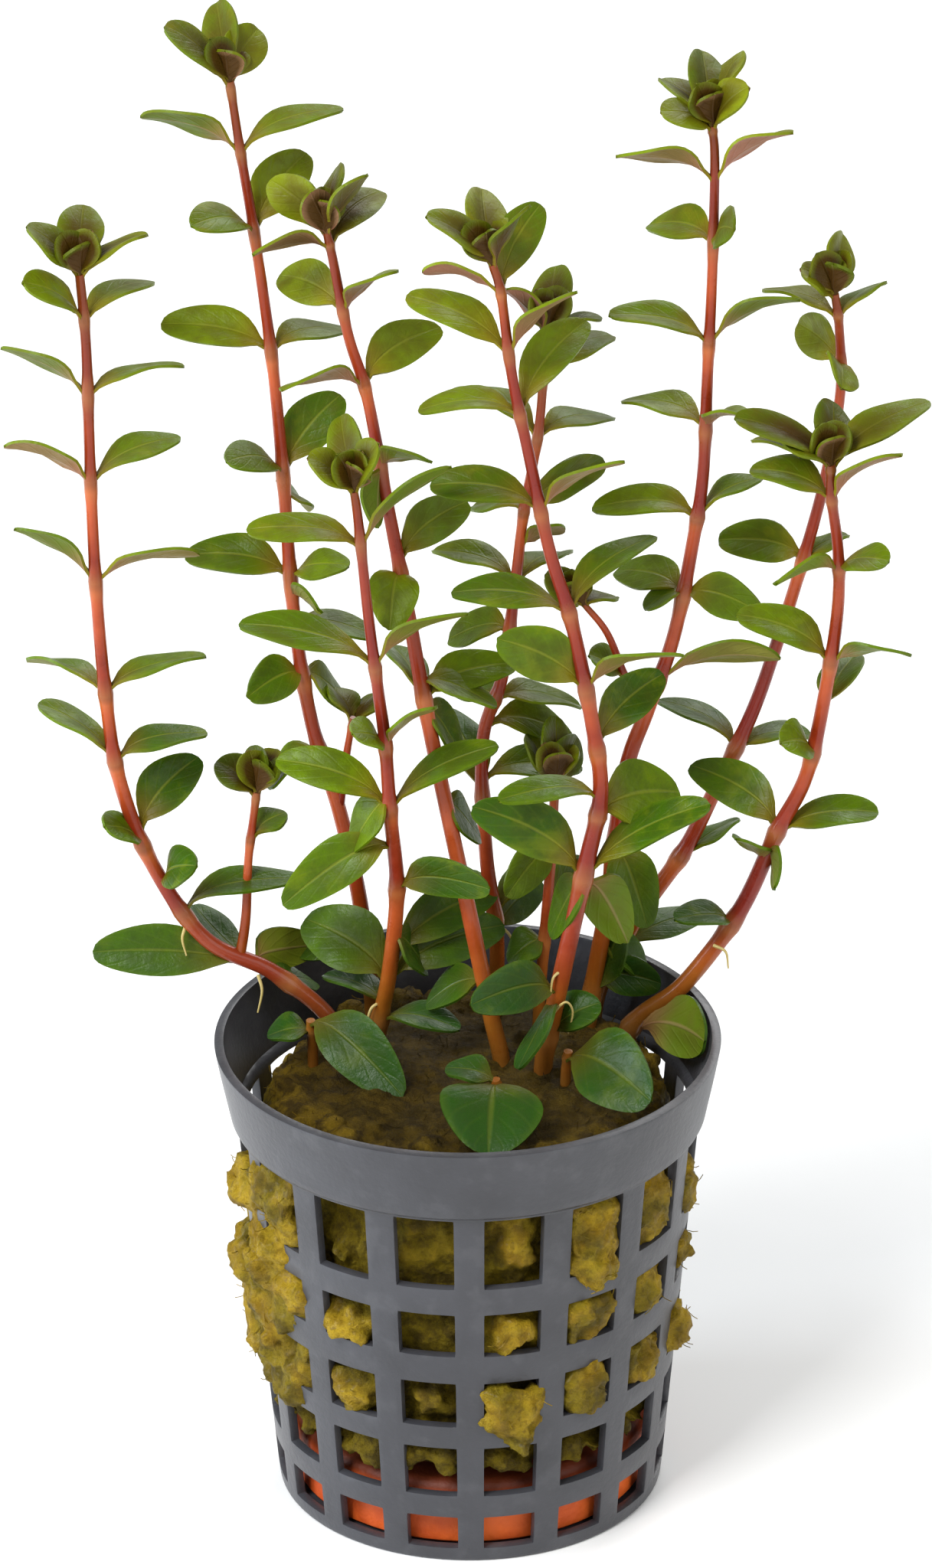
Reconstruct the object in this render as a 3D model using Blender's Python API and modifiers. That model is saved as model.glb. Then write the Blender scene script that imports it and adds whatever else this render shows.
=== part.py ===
"""A bunch of rotala stems planted in a small aquarium net pot.

Lengths are in millimetres and become metres through MM. The origin is the middle of the pot's
underside and +Z is up. Every stem is described as it looks from the front: a place is written as
the x and z where its sight line crosses the plane y = 0, and a depth says how far back it lies.
"""

import math

import bmesh
import bpy
from mathutils import Matrix, Vector

MM = 0.001
GAP = 0.3

# The viewpoint that the stems and leaves are laid out from.
EYE = Vector((0.0, -897.3, 525.5))

# The pot: a tapered cup with sixteen ribs, five rows of windows and a plain band at the rim.
RIM_TOP = 53.4
RIM_RADIUS = 27.5
BAND_BOTTOM = 44.9
BAND_RADIUS = 25.9
BODY_TOP_RADIUS = 25.2
BASE_RADIUS = 21.1
WALL = 1.0
WINDOWS = ((44.4, 35.6), (32.3, 26.9), (23.4, 17.7), (14.9, 8.6), (5.8, 1.7))
RIBS = 16
DIVISIONS = 3 * RIBS
RIB_PITCH = 360.0 / RIBS
FRONT = 270.0

# The clay ring that weighs the pot down.
RING_OUTER = 19.4
RING_INNER = 9.0
RING_TOP = 8.8
RING_EDGE = 1.4
RING_STEPS = 32

# The plug of mineral wool: its turned profile from the middle of the top to the middle below.
WOOL_PROFILE = (
    (0, 49.0), (7, 49.2), (14, 48.8), (20.0, 48.4), (22.0, 46.0), (21.9, 36), (21.1, 24),
    (20.1, 14.5), (18.6, 11.4), (14.0, RING_TOP + GAP), (0, RING_TOP + GAP),
)
WOOL_STEPS = 20
WOOL_LUMP = 0.011
SOCKET_DEPTH = 14.0

# Tufts that bulge out through the windows: angle, height, half width, half height, reach.
TUFT_ROOT = 18.0
TUFTS = (
    (FRONT - 78.75, 40.0, 2.6, 3.6, 28.0),
    (FRONT - 78.75, 29.6, 2.4, 2.1, 27.8),
    (FRONT - 78.75, 20.5, 2.3, 2.2, 26.8),
    (FRONT - 56.25, 39.8, 2.6, 3.6, 26.6),
    (FRONT - 56.25, 29.6, 2.4, 2.1, 25.4),
    (FRONT - 56.25, 20.5, 2.3, 2.2, 24.8),
    (FRONT - 33.75, 29.6, 2.4, 2.1, 25.2),
    (FRONT - 33.75, 20.5, 2.3, 2.2, 24.2),
    (FRONT + 11.25, 29.6, 2.5, 2.1, 25.0),
    (FRONT + 11.25, 20.4, 2.5, 2.3, 26.6),
    (FRONT + 33.75, 40.0, 2.6, 3.6, 27.2),
    (FRONT + 33.75, 29.6, 2.4, 2.1, 25.8),
    (FRONT + 33.75, 20.5, 2.3, 2.2, 25.0),
    (FRONT + 56.25, 40.0, 2.6, 3.6, 26.0),
    (FRONT + 56.25, 29.6, 2.4, 2.1, 25.4),
    (FRONT + 78.75, 40.0, 2.6, 3.6, 28.0),
    (FRONT + 78.75, 29.6, 2.4, 2.1, 26.8),
    (FRONT + 78.75, 20.5, 2.3, 2.2, 25.4),
)

# Leaves: usual length and width, thickness, and how wide the blade is along its length.
LEAF_LENGTH = 10.5
LEAF_WIDTH = 5.0
LEAF_THICKNESS = 0.5
LEAF_STATIONS = ((0.0, 0.18), (0.32, 0.6), (0.7, 1.0), (1.0, 0.5))
LEAF_SHOWS_TOP = 2.4
LEAF_HUG = 0.28
BACK, SIDE, NEAR = 1.0, 0.0, -1.0

# Each shoot has the depth and the radius of its stem at its foot and at its crown, the route of
# the stem, and its leaves: height on the stem, tip x, tip z, width as seen, and which way it faces.
# A leaf may add its own length. A branch starts on its parent's stem.
SHOOTS = {
    "shoot_far_left": {
        "depth": (8, 0), "radius": (1.0, 0.5),
        "route": ((-14, 54), (-20.7, 61.3), (-28.2, 65.6), (-33.9, 75), (-37.1, 85), (-38.3, 95),
                  (-39, 107), (-39.3, 120), (-39.4, 135), (-39.9, 143.5)),
        "leaves": (
            (138, -45.6, 142.8, 2.5, NEAR), (138, -32.4, 143.6, 2.5, BACK),
            (129.5, -48.3, 135.3, 1.0, NEAR), (129.5, -29.2, 134, 1.0, BACK),
            (119.5, -48.3, 124, 1.5, NEAR), (119.5, -29.8, 125.6, 2.5, BACK),
            (108, -47.5, 114.4, 1.0, NEAR), (108, -28, 111.8, 1.0, NEAR),
            (95, -46.5, 99.3, 1.2, BACK), (95, -27.5, 99.5, 1.8, BACK),
            (87, -45.4, 94.3, 2.5, BACK), (87, -27.5, 90.9, 2.5, NEAR),
            (78.5, -28.5, 87.5, 5.5, BACK), (77, -38.8, 79.2, 2.5, NEAR, 8),
            (72.5, -29.2, 74.5, 3.5, NEAR, 8),
            (69, -17, 73.3, 2.5, BACK, 13.5), (62.5, -40.4, 64.1, 5.8, NEAR, 16),
            (62.5, -29.4, 69.7, 3.0, BACK), (60, -16.5, 60.5, 3.5, BACK, 7),
            (143, -45.2, 149.1, 2.5, NEAR, 8), (143, -32.7, 148.1, 1.2, BACK, 8.5),
            (143.4, -39.3, 151.4, 5.0, BACK, 9),
        ),
        "branch": {
            "depth": (7.2, 9), "radius": (0.6, 0.4),
            "route": ((-24.6, 62.9), (-23.8, 68.2), (-23.4, 75.3), (-22.4, 83.2)),
            "leaves": (
                (77.5, -19.3, 81, 2.5, SIDE, 6), (82.5, -26.6, 87, 4.0, SIDE, 6),
                (83, -20, 87.2, 2.2, SIDE, 6), (83, -22.8, 88.8, 2.6, SIDE, 7),
            ),
        },
    },
    "shoot_tall_left": {
        "depth": (14, 10), "radius": (1.0, 0.45),
        "route": ((-10.2, 56.5), (-11.5, 70), (-13.6, 81), (-16.4, 91.4), (-18.1, 104),
                  (-19.1, 121.5), (-20.1, 134.7), (-21.7, 148.5), (-22.9, 157), (-23.9, 165)),
        "leaves": (
            (157, -33.1, 161.8, 2.0, NEAR), (157, -12.3, 162.8, 2.0, BACK),
            (148, -28, 149.2, 2.6, NEAR), (148, -16, 157, 5.5, BACK),
            (134.5, -31.6, 137.9, 4.5, BACK), (134.5, -11.8, 137.5, 2.5, BACK),
            (120.5, -24.7, 122.4, 2.5, NEAR), (120.5, -12.8, 129.7, 5.5, BACK),
            (108.5, -29.7, 111.6, 4.5, BACK), (108.5, -12.2, 109.8, 2.5, NEAR, 7.5),
            (97, -23.2, 94.5, 5.0, NEAR, 8), (97, -11.2, 92, 2.5, BACK),
            (88, -21.2, 83.6, 2.5, SIDE, 8.5), (65, -18.5, 64, 4.5, SIDE, 9),
            (164, -29.9, 171.7, 2.5, NEAR), (164.5, -25.2, 173.8, 4.0, BACK, 11),
            (164.5, -20.5, 171, 4.5, BACK, 8),
        ),
        "branch": {
            "depth": (13, 12), "radius": (0.55, 0.35),
            "route": ((-13.6, 81), (-12.9, 86.5), (-12, 92)),
            "leaves": ((91, -9.6, 95, 2.4, BACK, 5), (91.5, -14.2, 96, 2.4, BACK, 5)),
        },
    },
    "shoot_middle_left": {
        "depth": (2, 6), "radius": (1.05, 0.45),
        "route": ((3.8, 49), (2.4, 56.8), (-0.8, 74.2), (-3.9, 91), (-6.1, 105), (-8.2, 117.7),
                  (-10.1, 129.4), (-12, 136.4), (-13.5, 145), (-14.1, 148)),
        "leaves": (
            (146.2, -22, 145.8, 1.2, NEAR, 8.5), (146.2, -8.3, 153, 4.5, BACK, 11),
            (139, -19.6, 143.5, 5.0, BACK), (139, -7, 144, 1.2, NEAR, 8.5),
            (130.5, -2.4, 137.2, 5.0, BACK, 11.5), (130.5, -19.2, 130.5, 1.2, NEAR),
            (121.3, -3.6, 122.2, 2.0, NEAR, 7), (110, 0.6, 117.2, 4.8, 0.4, 11.5),
            (108.5, -8, 102.4, 5.5, -0.4), (94, 5.5, 98.5, 4.5, BACK, 11),
            (94, -7.8, 100.5, 3.0, BACK),
            (147.5, -20.1, 153.8, 4.5, SIDE), (147.8, -13, 155.7, 2.0, BACK, 9),
            (147.8, -9.9, 154.5, 1.5, NEAR, 8),
        ),
    },
    "shoot_front_left": {
        "depth": (7, -7), "radius": (1.0, 0.45),
        "route": ((-9.8, 52.9), (-8.4, 61.5), (-7.5, 71.4), (-8.1, 80.2), (-8.6, 89),
                  (-9.3, 95.3), (-10.3, 104.6), (-11.2, 115.2), (-11.6, 118.5)),
        "leaves": (
            (112, -23, 114, 3.3, NEAR, 12), (112, -1.3, 121.2, 1.2, NEAR, 13.5),
            (98, -24, 103, 3.5, NEAR, 15), (98, 0.2, 105, 1.2, NEAR, 12.5),
            (88.5, -3.4, 93.4, 1.2, NEAR, 8.5), (88.5, -12, 90.2, 2.4, NEAR, 6),
            (81, -20.4, 87.5, 4.5, SIDE, 14.5), (81, 3.5, 88.5, 3.0, NEAR, 14),
            (71.5, 2.2, 71.2, 4.5, NEAR, 12.5), (60, -17.5, 68, 7.5, 0.3, 14),
            (76.5, -20, 69.5, 5.5, SIDE, 14), (57.4, -15.5, 61.5, 2.6, BACK, 8),
            (60.4, 4.3, 67.2, 5.8, 0.5, 15), (55.5, -0.8, 54.5, 2.5, NEAR, 9.5),
            (118, -16.1, 122.9, 2.6, NEAR, 7), (118.2, -13.4, 127.5, 4.0, BACK, 9.5),
            (118, -9, 124, 2.5, NEAR, 7),
        ),
    },
    "shoot_middle": {
        "depth": (0, -4), "radius": (1.1, 0.45),
        "route": ((8.2, 50), (10.3, 61.4), (13, 75), (14.4, 83), (13.4, 91.8), (11.3, 103.1),
                  (9, 111.4), (6.9, 122.2), (5.1, 131.6), (4, 140.9), (3.1, 144.3)),
        "leaves": (
            (141, -4.2, 144.2, 1.2, NEAR, 8.5), (141, 8.5, 151.2, 4.5, BACK, 11.5),
            (134, -5.9, 141, 4.0, BACK, 12.5), (134, 11.8, 141.3, 1.2, NEAR, 10.5),
            (127, -5, 128.4, 2.5, NEAR, 11), (127, 12.9, 137.9, 4.8, BACK, 13.5),
            (116, -3.7, 119.5, 4.0, -0.2, 12.5), (116, 16.8, 122.1, 1.2, NEAR, 11),
            (104, -1.4, 106.4, 3.3, 0.3, 13), (104, 20.1, 113.7, 3.0, BACK, 13.5),
            (95, 3.7, 101, 6.0, NEAR, 12), (95, 23.2, 100, 1.2, NEAR, 12),
            (88, 21.3, 97, 4.8, BACK, 12.5), (82, 3.4, 82.2, 2.6, NEAR, 11.5),
            (80, 23.3, 83, 7.5, BACK, 11.5), (72.5, 0.7, 81.3, 6.0, NEAR, 15),
            (72.5, 26.2, 81.3, 4.0, NEAR, 17), (58.5, 0.6, 57.4, 5.6, NEAR, 12.5),
            (53.5, 14.2, 57.8, 4.0, NEAR, 7),
            (144, -3.5, 150.2, 2.4, NEAR, 9.5), (144.2, 2.4, 153.5, 4.2, BACK, 10.5),
            (144, 6.7, 151, 1.4, NEAR, 8.5),
        ),
    },
    "shoot_behind_middle": {
        "depth": (14, 8), "radius": (0.95, 0.45),
        "route": ((3, 56), (3.2, 65.8), (2.1, 75.8), (1.8, 89), (4, 97), (5.4, 107.9),
                  (6.3, 116), (7.9, 125.5), (8.7, 136.7)),
        "leaves": (
            (131.5, 15.7, 136.8, 3.5, BACK), (124.5, 15.8, 127.4, 2.5, BACK),
            (124.5, -0.9, 131.2, 2.5, BACK, 11.5), (116, 15.3, 121.3, 4.0, BACK, 11),
            (116, 0.8, 116.5, 2.5, BACK, 9), (107.5, -3.4, 112.2, 2.5, BACK),
            (107.5, 10.9, 112, 2.5, BACK), (102, -2.1, 101.4, 4.0, BACK, 8.5),
            (94, -0.5, 95, 3.0, BACK, 6), (94, 12.2, 93, 2.5, BACK),
            (82, -2.1, 93.5, 4.2, BACK, 13), (68, 11, 77, 3.0, BACK, 12.5),
            (136.3, 9.8, 144, 4.2, BACK, 9), (136, 4.7, 141.7, 2.2, NEAR, 7),
            (136, 14.5, 138.4, 1.2, BACK, 6.5),
        ),
    },
    "shoot_short": {
        "depth": (9, 8), "radius": (0.7, 0.5),
        "route": ((7.6, 54), (8.4, 66), (9.2, 77), (9.5, 84)),
        "leaves": (
            (76, 4.2, 70.5, 4.2, SIDE, 8), (69, 13.2, 74.5, 4.0, BACK, 8),
            (65, 4.4, 62.5, 3.6, SIDE, 6), (83, 6.6, 90, 3.0, BACK, 7), (83, 12.3, 89.5, 3.0, BACK, 7),
            (83.5, 9.6, 92, 3.5, BACK, 8),
        ),
    },
    "shoot_tall_right": {
        "depth": (12, 6), "radius": (1.05, 0.45),
        "route": ((13, 55), (15.2, 70), (17, 85), (19.5, 93), (22.2, 101.5), (24.2, 112.7),
                  (25.2, 120.6), (25.6, 132.3), (26, 142.9), (26.2, 155.5), (25.9, 159.7)),
        "leaves": (
            (153.5, 15.9, 156.6, 1.2, NEAR, 11), (153.5, 34.1, 159.6, 1.2, NEAR),
            (146.5, 19.1, 149.3, 4.0, BACK, 9), (146.5, 27.9, 148.2, 2.6, NEAR, 8),
            (135, 15.2, 138.6, 2.5, NEAR, 11.5), (135, 35, 141, 1.2, -0.5, 11.5),
            (125.5, 16.6, 129.2, 2.5, BACK), (125.5, 29.3, 127.4, 1.2, NEAR, 7),
            (115, 13.3, 116.7, 3.5, BACK, 11.8), (115, 31.4, 120, 1.6, SIDE),
            (106, 15.9, 109.3, 4.2, BACK), (106, 31.5, 103.5, 4.6, -0.3),
            (96, 33.6, 99.9, 2.2, NEAR, 14),
            (76, 19.5, 66.5, 5.5, SIDE, 10.5), (58, 16.8, 66.3, 4.2, NEAR, 9.5),
            (159, 24.8, 168, 4.0, BACK, 10.5), (159.2, 28.6, 168, 2.4, BACK),
            (159, 20.8, 165.6, 2.4, BACK, 9), (159, 20.7, 161.6, 2.4, NEAR, 7),
            (159, 29.3, 164.2, 2.6, NEAR, 7),
        ),
        "branch": {
            "depth": (9.9, 7), "radius": (0.5, 0.35),
            "route": ((19, 91.5), (17.5, 95), (15.2, 101.5), (12.6, 105.2)),
            "leaves": (
                (96.5, 13.2, 99.4, 2.4, NEAR, 5), (105, 16, 106, 1.6, BACK, 4),
                (105, 11, 108, 1.8, BACK, 4),
            ),
        },
    },
    "shoot_back_right": {
        "depth": (17, 10), "radius": (1.05, 0.45),
        "route": ((13.8, 57.5), (17.8, 67), (23.1, 75.4), (26.3, 82.3), (30.4, 91.9),
                  (32.9, 99.7), (35.7, 109.8), (38, 119.5), (39.5, 129.4), (39.3, 136.8),
                  (38.8, 140.7)),
        "leaves": (
            (138, 31.2, 141.3, 1.4, 0.4, 9), (138, 44, 142, 1.2, BACK, 7),
            (132.5, 34.8, 137.4, 4.2, BACK, 8.5), (132.5, 40, 130.2, 2.6, NEAR, 6),
            (110, 26.8, 112.6, 4.6, BACK), (110, 40.5, 113.5, 2.0, BACK, 6),
            (88, 20.5, 94.2, 2.3, BACK, 11), (88, 37, 90, 2.4, BACK, 9),
            (75, 29.2, 80, 1.6, BACK, 8), (64, 26, 68.5, 3.5, BACK, 11.5),
            (140.4, 39.8, 147.5, 2.6, BACK, 8), (140, 35.3, 143.8, 2.4, NEAR, 5.5),
        ),
    },
    "basal_front": {
        "depth": (-9, -9.5), "radius": (0.7, 0.5),
        "route": ((3.4, 44.6), (3.0, 48.2)),
        "leaves": ((47.4, 2.0, 39.6, 9.0, NEAR, 11), (47.8, -2.5, 50, 3.0, NEAR, 5.5)),
    },
    "basal_right": {
        "depth": (-3, -3.5), "radius": (0.7, 0.5),
        "route": ((10.6, 47.6), (10.9, 51.6)),
        "leaves": ((50.6, 20.6, 46.6, 8.0, NEAR, 13.5),),
    },
    "basal_left": {
        "depth": (3, 2.5), "radius": (0.7, 0.5),
        "route": ((-16.8, 51), (-17.0, 55.6)),
        "leaves": ((54.6, -6.8, 48.3, 6.2, NEAR, 14), (55, -21.2, 55.5, 2.6, SIDE, 5)),
    },
    "shoot_front_right": {
        "depth": (9.8, -1), "radius": (1.1, 0.5),
        "route": ((17.4, 53.8), (23.4, 59.7), (29.4, 68.6), (33.3, 78), (36.4, 84.8),
                  (38.3, 94.5), (39.5, 104.1), (39.5, 111), (38.7, 117.5), (38.6, 121.2)),
        "leaves": (
            (117, 45.8, 123, 1.2, NEAR), (117, 30, 121.2, 3.4, SIDE),
            (109, 32.8, 107.4, 1.2, NEAR, 8), (109, 44.8, 110.3, 2.5, NEAR, 7),
            (98, 29, 104.3, 4.0, NEAR, 12), (98, 47.5, 99.8, 1.2, NEAR, 9.5),
            (92.5, 41.5, 99, 3.8, BACK, 9.5), (87.5, 34, 89, 3.0, NEAR, 7),
            (78, 23.6, 86.4, 5.2, BACK, 13.5), (78, 44.2, 80.6, 3.5, NEAR, 11.5),
            (67, 22.4, 68, 2.4, NEAR, 7.5),
            (55, 25.2, 53.0, 5.2, NEAR, 14),
            (120.6, 28.5, 127, 2.8, NEAR, 12), (120.6, 48.9, 128.6, 3.4, BACK, 13),
            (121, 39.2, 129, 4.2, BACK, 9), (120.6, 33.2, 124.8, 2.4, NEAR, 7),
        ),
    },
}


def clear_scene():
    for thing in list(bpy.data.objects):
        bpy.data.objects.remove(thing, do_unlink=True)


def new_collection(name, parent):
    collection = bpy.data.collections.new(name)
    parent.children.link(collection)
    return collection


def material(name, colour, roughness):
    mat = bpy.data.materials.new(name)
    mat.use_nodes = True
    shader = mat.node_tree.nodes["Principled BSDF"]
    shader.inputs["Base Color"].default_value = (*colour, 1.0)
    shader.inputs["Roughness"].default_value = roughness
    shader.inputs["Metallic"].default_value = 0.0
    mat.diffuse_color = (*colour, 1.0)
    return mat


def add_object(name, mesh, collection, mat=None):
    thing = bpy.data.objects.new(name, mesh)
    collection.objects.link(thing)
    if mat:
        mesh.materials.append(mat)
    return thing


def hide_as_helper(thing):
    thing.hide_render = True
    thing.display_type = "WIRE"


def baked_mesh(thing, name):
    """The evaluated mesh of an object, with its caps welded."""
    graph = bpy.context.evaluated_depsgraph_get()
    mesh = bpy.data.meshes.new_from_object(thing.evaluated_get(graph))
    mesh.name = name
    bm = bmesh.new()
    bm.from_mesh(mesh)
    bmesh.ops.remove_doubles(bm, verts=bm.verts, dist=0.01 * MM)
    bmesh.ops.recalc_face_normals(bm, faces=bm.faces)
    bm.to_mesh(mesh)
    bm.free()
    return mesh


def turned_mesh(name, profile, steps, collection):
    """A profile of (radius, height), written from the top down, turned about Z."""
    outline = bpy.data.meshes.new(name)
    points = [(radius * MM, 0.0, height * MM) for radius, height in profile]
    outline.from_pydata(points, [(i, i + 1) for i in range(len(points) - 1)], [])
    thing = add_object(name + "_outline", outline, collection)
    screw = thing.modifiers.new("turn", "SCREW")
    screw.steps = steps
    screw.render_steps = steps
    screw.use_merge_vertices = True
    screw.merge_threshold = 0.01 * MM
    mesh = baked_mesh(thing, name)
    bpy.data.objects.remove(thing, do_unlink=True)
    return mesh


def boolean(thing, operation, collection):
    modifier = thing.modifiers.new(operation.lower(), "BOOLEAN")
    modifier.operation = operation
    modifier.solver = "EXACT"
    modifier.operand_type = "COLLECTION"
    modifier.collection = collection


def body_radius(height):
    return BASE_RADIUS + (BODY_TOP_RADIUS - BASE_RADIUS) * height / BAND_BOTTOM


def pot_profile():
    heights = [edge for window in WINDOWS for edge in window]
    wall = [(body_radius(height), height) for height in heights]
    return [(RIM_RADIUS, RIM_TOP), (BAND_RADIUS, BAND_BOTTOM), *wall, (BASE_RADIUS, 0), (0, 0)]


def in_window(centre):
    angle = math.degrees(math.atan2(centre.y, centre.x))
    off_rib = abs((angle - FRONT + RIB_PITCH / 2) % RIB_PITCH - RIB_PITCH / 2)
    height = centre.z / MM
    between_ribs = off_rib > RIB_PITCH / DIVISIONS * RIBS / 2
    return between_ribs and any(low < height < high for high, low in WINDOWS)


def build_pot(parts, helpers, mat):
    mesh = turned_mesh("net_pot", pot_profile(), DIVISIONS, helpers)
    mesh.transform(Matrix.Rotation(math.radians(180.0 / DIVISIONS), 4, "Z"))
    bm = bmesh.new()
    bm.from_mesh(mesh)
    windows = [face for face in bm.faces if in_window(face.calc_center_median())]
    bmesh.ops.delete(bm, geom=windows, context="FACES")
    bm.to_mesh(mesh)
    bm.free()
    pot = add_object("net_pot", mesh, parts, mat)
    shell = pot.modifiers.new("wall", "SOLIDIFY")
    shell.thickness = WALL * MM
    shell.offset = -1.0
    shell.use_even_offset = True


def build_ring(parts, helpers, mat):
    floor = WALL + GAP
    profile = (
        (RING_INNER, RING_TOP), (RING_OUTER - RING_EDGE, RING_TOP),
        (RING_OUTER, RING_TOP - RING_EDGE), (RING_OUTER, floor), (RING_INNER, floor),
        (RING_INNER, RING_TOP),
    )
    add_object("clay_ring", turned_mesh("clay_ring", profile, RING_STEPS, helpers), parts, mat)


def lump(place):
    """An even, repeating unevenness of the wool, in millimetres."""
    x, y, z = place / MM
    return math.sin(0.55 * x + 0.9) * math.cos(0.47 * y) + 0.6 * math.sin(0.5 * z + 0.3 * x)


def build_wool(parts, helpers, sockets, mat):
    mesh = turned_mesh("rockwool", WOOL_PROFILE, WOOL_STEPS, helpers)
    for vertex in mesh.vertices:
        if vertex.co.z > (RING_TOP + 2 * GAP) * MM:
            vertex.co *= 1.0 + WOOL_LUMP * lump(vertex.co)
    wool = add_object("rockwool", mesh, parts, mat)
    tufts = new_collection("tufts", helpers)
    for index, (angle, height, half_width, half_height, reach) in enumerate(TUFTS):
        tuft = bpy.data.meshes.new("tuft")
        bm = bmesh.new()
        bmesh.ops.create_uvsphere(bm, u_segments=6, v_segments=4, radius=1.0)
        bm.to_mesh(tuft)
        bm.free()
        size = ((reach - TUFT_ROOT) / 2 * MM, half_width * MM, half_height * MM)
        tuft.transform(Matrix.Diagonal((*size, 1.0)))
        tuft.transform(Matrix.Translation(((reach + TUFT_ROOT) / 2 * MM, 0.0, height * MM)))
        tuft.transform(Matrix.Rotation(math.radians(angle), 4, "Z"))
        hide_as_helper(add_object(f"tuft_{index}", tuft, tufts))
    boolean(wool, "UNION", tufts)
    boolean(wool, "DIFFERENCE", sockets)


def on_sight_line(x, z, depth):
    """The place at a depth that is seen where (x, 0, z) is seen."""
    seen = Vector((x, 0.0, z))
    return EYE + (seen - EYE) * (depth - EYE.y) / -EYE.y


def stem_points(shoot):
    """The middle line of a stem, in millimetres."""
    route = shoot["route"]
    near, far = shoot["depth"]
    foot, crown = route[0][1], route[-1][1]
    return [
        on_sight_line(x, z, near + (far - near) * (z - foot) / (crown - foot)) for x, z in route
    ]


def on_stem(shoot, points, seen_height):
    """The place and direction of the stem where it is seen at a height."""
    route = shoot["route"]
    last = len(route) - 2
    index = next((i for i in range(last) if route[i + 1][1] > seen_height), last)
    low, high = route[index][1], route[index + 1][1]
    share = (seen_height - low) / (high - low)
    place = points[index].lerp(points[index + 1], share)
    return place, (points[index + 1] - points[index]).normalized()


def stem_mesh(name, points, radii, collection):
    curve = bpy.data.curves.new(name, "CURVE")
    curve.dimensions = "3D"
    curve.bevel_depth = MM
    curve.bevel_resolution = 1
    curve.use_fill_caps = True
    spline = curve.splines.new("POLY")
    spline.points.add(len(points) - 1)
    for target, place, radius in zip(spline.points, points, radii):
        target.co = (*(place * MM), 1.0)
        target.radius = radius
    thing = bpy.data.objects.new(name, curve)
    collection.objects.link(thing)
    mesh = baked_mesh(thing, name)
    bpy.data.objects.remove(thing, do_unlink=True)
    return mesh


def leaf_tip(base, tip_x, tip_z, length, facing):
    """The point on the tip's sight line that lies a leaf's length from its base."""
    ray = (Vector((tip_x, 0.0, tip_z)) - EYE).normalized()
    nearest = EYE + ray * (base - EYE).dot(ray)
    reach = math.sqrt(max(0.0, length**2 - (base - nearest).length_squared))
    return nearest + ray * reach * facing, ray


def leaf_across(midrib, ray, stem, seen_width, facing):
    """The direction across a blade that shows its seen width.

    A leaf that points back, or that is seen broad, shows its upper side, and the others their
    underside.
    """
    width = max(LEAF_WIDTH, seen_width)
    flat = midrib.cross(ray).normalized()
    deep = flat.cross(midrib)
    lean = math.acos(min(1.0, seen_width / width))
    shown = 1.0 if facing >= 0 or seen_width >= LEAF_SHOWS_TOP else -1.0
    best = None
    for sign in (1.0, -1.0):
        across = flat * math.cos(lean) + deep * math.sin(lean) * sign
        upper = midrib.cross(across)
        if upper.dot(stem) < 0:
            upper = -upper
        score = -upper.dot(ray) * shown
        if best is None or score > best[0]:
            best = (score, across)
    return best[1], width


def leaf_mesh(base, stem, leaf):
    """A thin blade that leaves the stem along it, and then arches out to its tip."""
    _, tip_x, tip_z, seen_width, facing, *rest = leaf
    length = rest[0] if rest else LEAF_LENGTH
    tip, ray = leaf_tip(base, tip_x, tip_z, length, facing)
    chord = tip - base
    across, width = leaf_across(chord.normalized(), ray, stem, seen_width, facing)
    elbow = base + stem * LEAF_HUG * length + chord * 0.2
    bm = bmesh.new()
    rows = len(LEAF_STATIONS) - 1
    bmesh.ops.create_grid(bm, x_segments=1, y_segments=rows, size=0.5)
    for vertex in bm.verts:
        along, breadth = LEAF_STATIONS[round((vertex.co.y + 0.5) * rows)]
        spine = base.lerp(elbow, along).lerp(elbow.lerp(tip, along), along)
        vertex.co = (spine + across * width * breadth * vertex.co.x) * MM
    bmesh.ops.solidify(bm, geom=bm.faces[:], thickness=LEAF_THICKNESS * MM)
    bmesh.ops.recalc_face_normals(bm, faces=bm.faces)
    mesh = bpy.data.meshes.new("leaf")
    bm.to_mesh(mesh)
    bm.free()
    return mesh


def add_leaves(shoot, points, collection):
    for leaf in shoot["leaves"]:
        base, stem = on_stem(shoot, points, leaf[0])
        hide_as_helper(add_object("leaf", leaf_mesh(base, stem, leaf), collection))


def radii_along(shoot, count):
    foot, crown = shoot["radius"]
    return [foot + (crown - foot) * i / (count - 1) for i in range(count)]


def build_shoot(name, shoot, parts, helpers, sockets, mat):
    points = stem_points(shoot)
    radii = radii_along(shoot, len(points))
    foot = points[0] + Vector((0.0, 0.0, -SOCKET_DEPTH))
    stem = stem_mesh(name, [foot, *points], [radii[0], *radii], helpers)
    thing = add_object(name, stem, parts, mat)
    extras = new_collection(name + "_leaves", helpers)
    add_leaves(shoot, points, extras)
    branch = shoot.get("branch")
    if branch:
        side = stem_points(branch)
        side_radii = radii_along(branch, len(side))
        side_mesh = stem_mesh(name + "_branch", side, side_radii, helpers)
        hide_as_helper(add_object(name + "_branch", side_mesh, extras))
        add_leaves(branch, side, extras)
    boolean(thing, "UNION", extras)
    socket_line = [foot + Vector((0.0, 0.0, -GAP)), *points[:3]]
    socket = stem_mesh(name + "_socket", socket_line, [radii[0] + GAP + 0.1] * 4, helpers)
    hide_as_helper(add_object(name + "_socket", socket, sockets))


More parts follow.
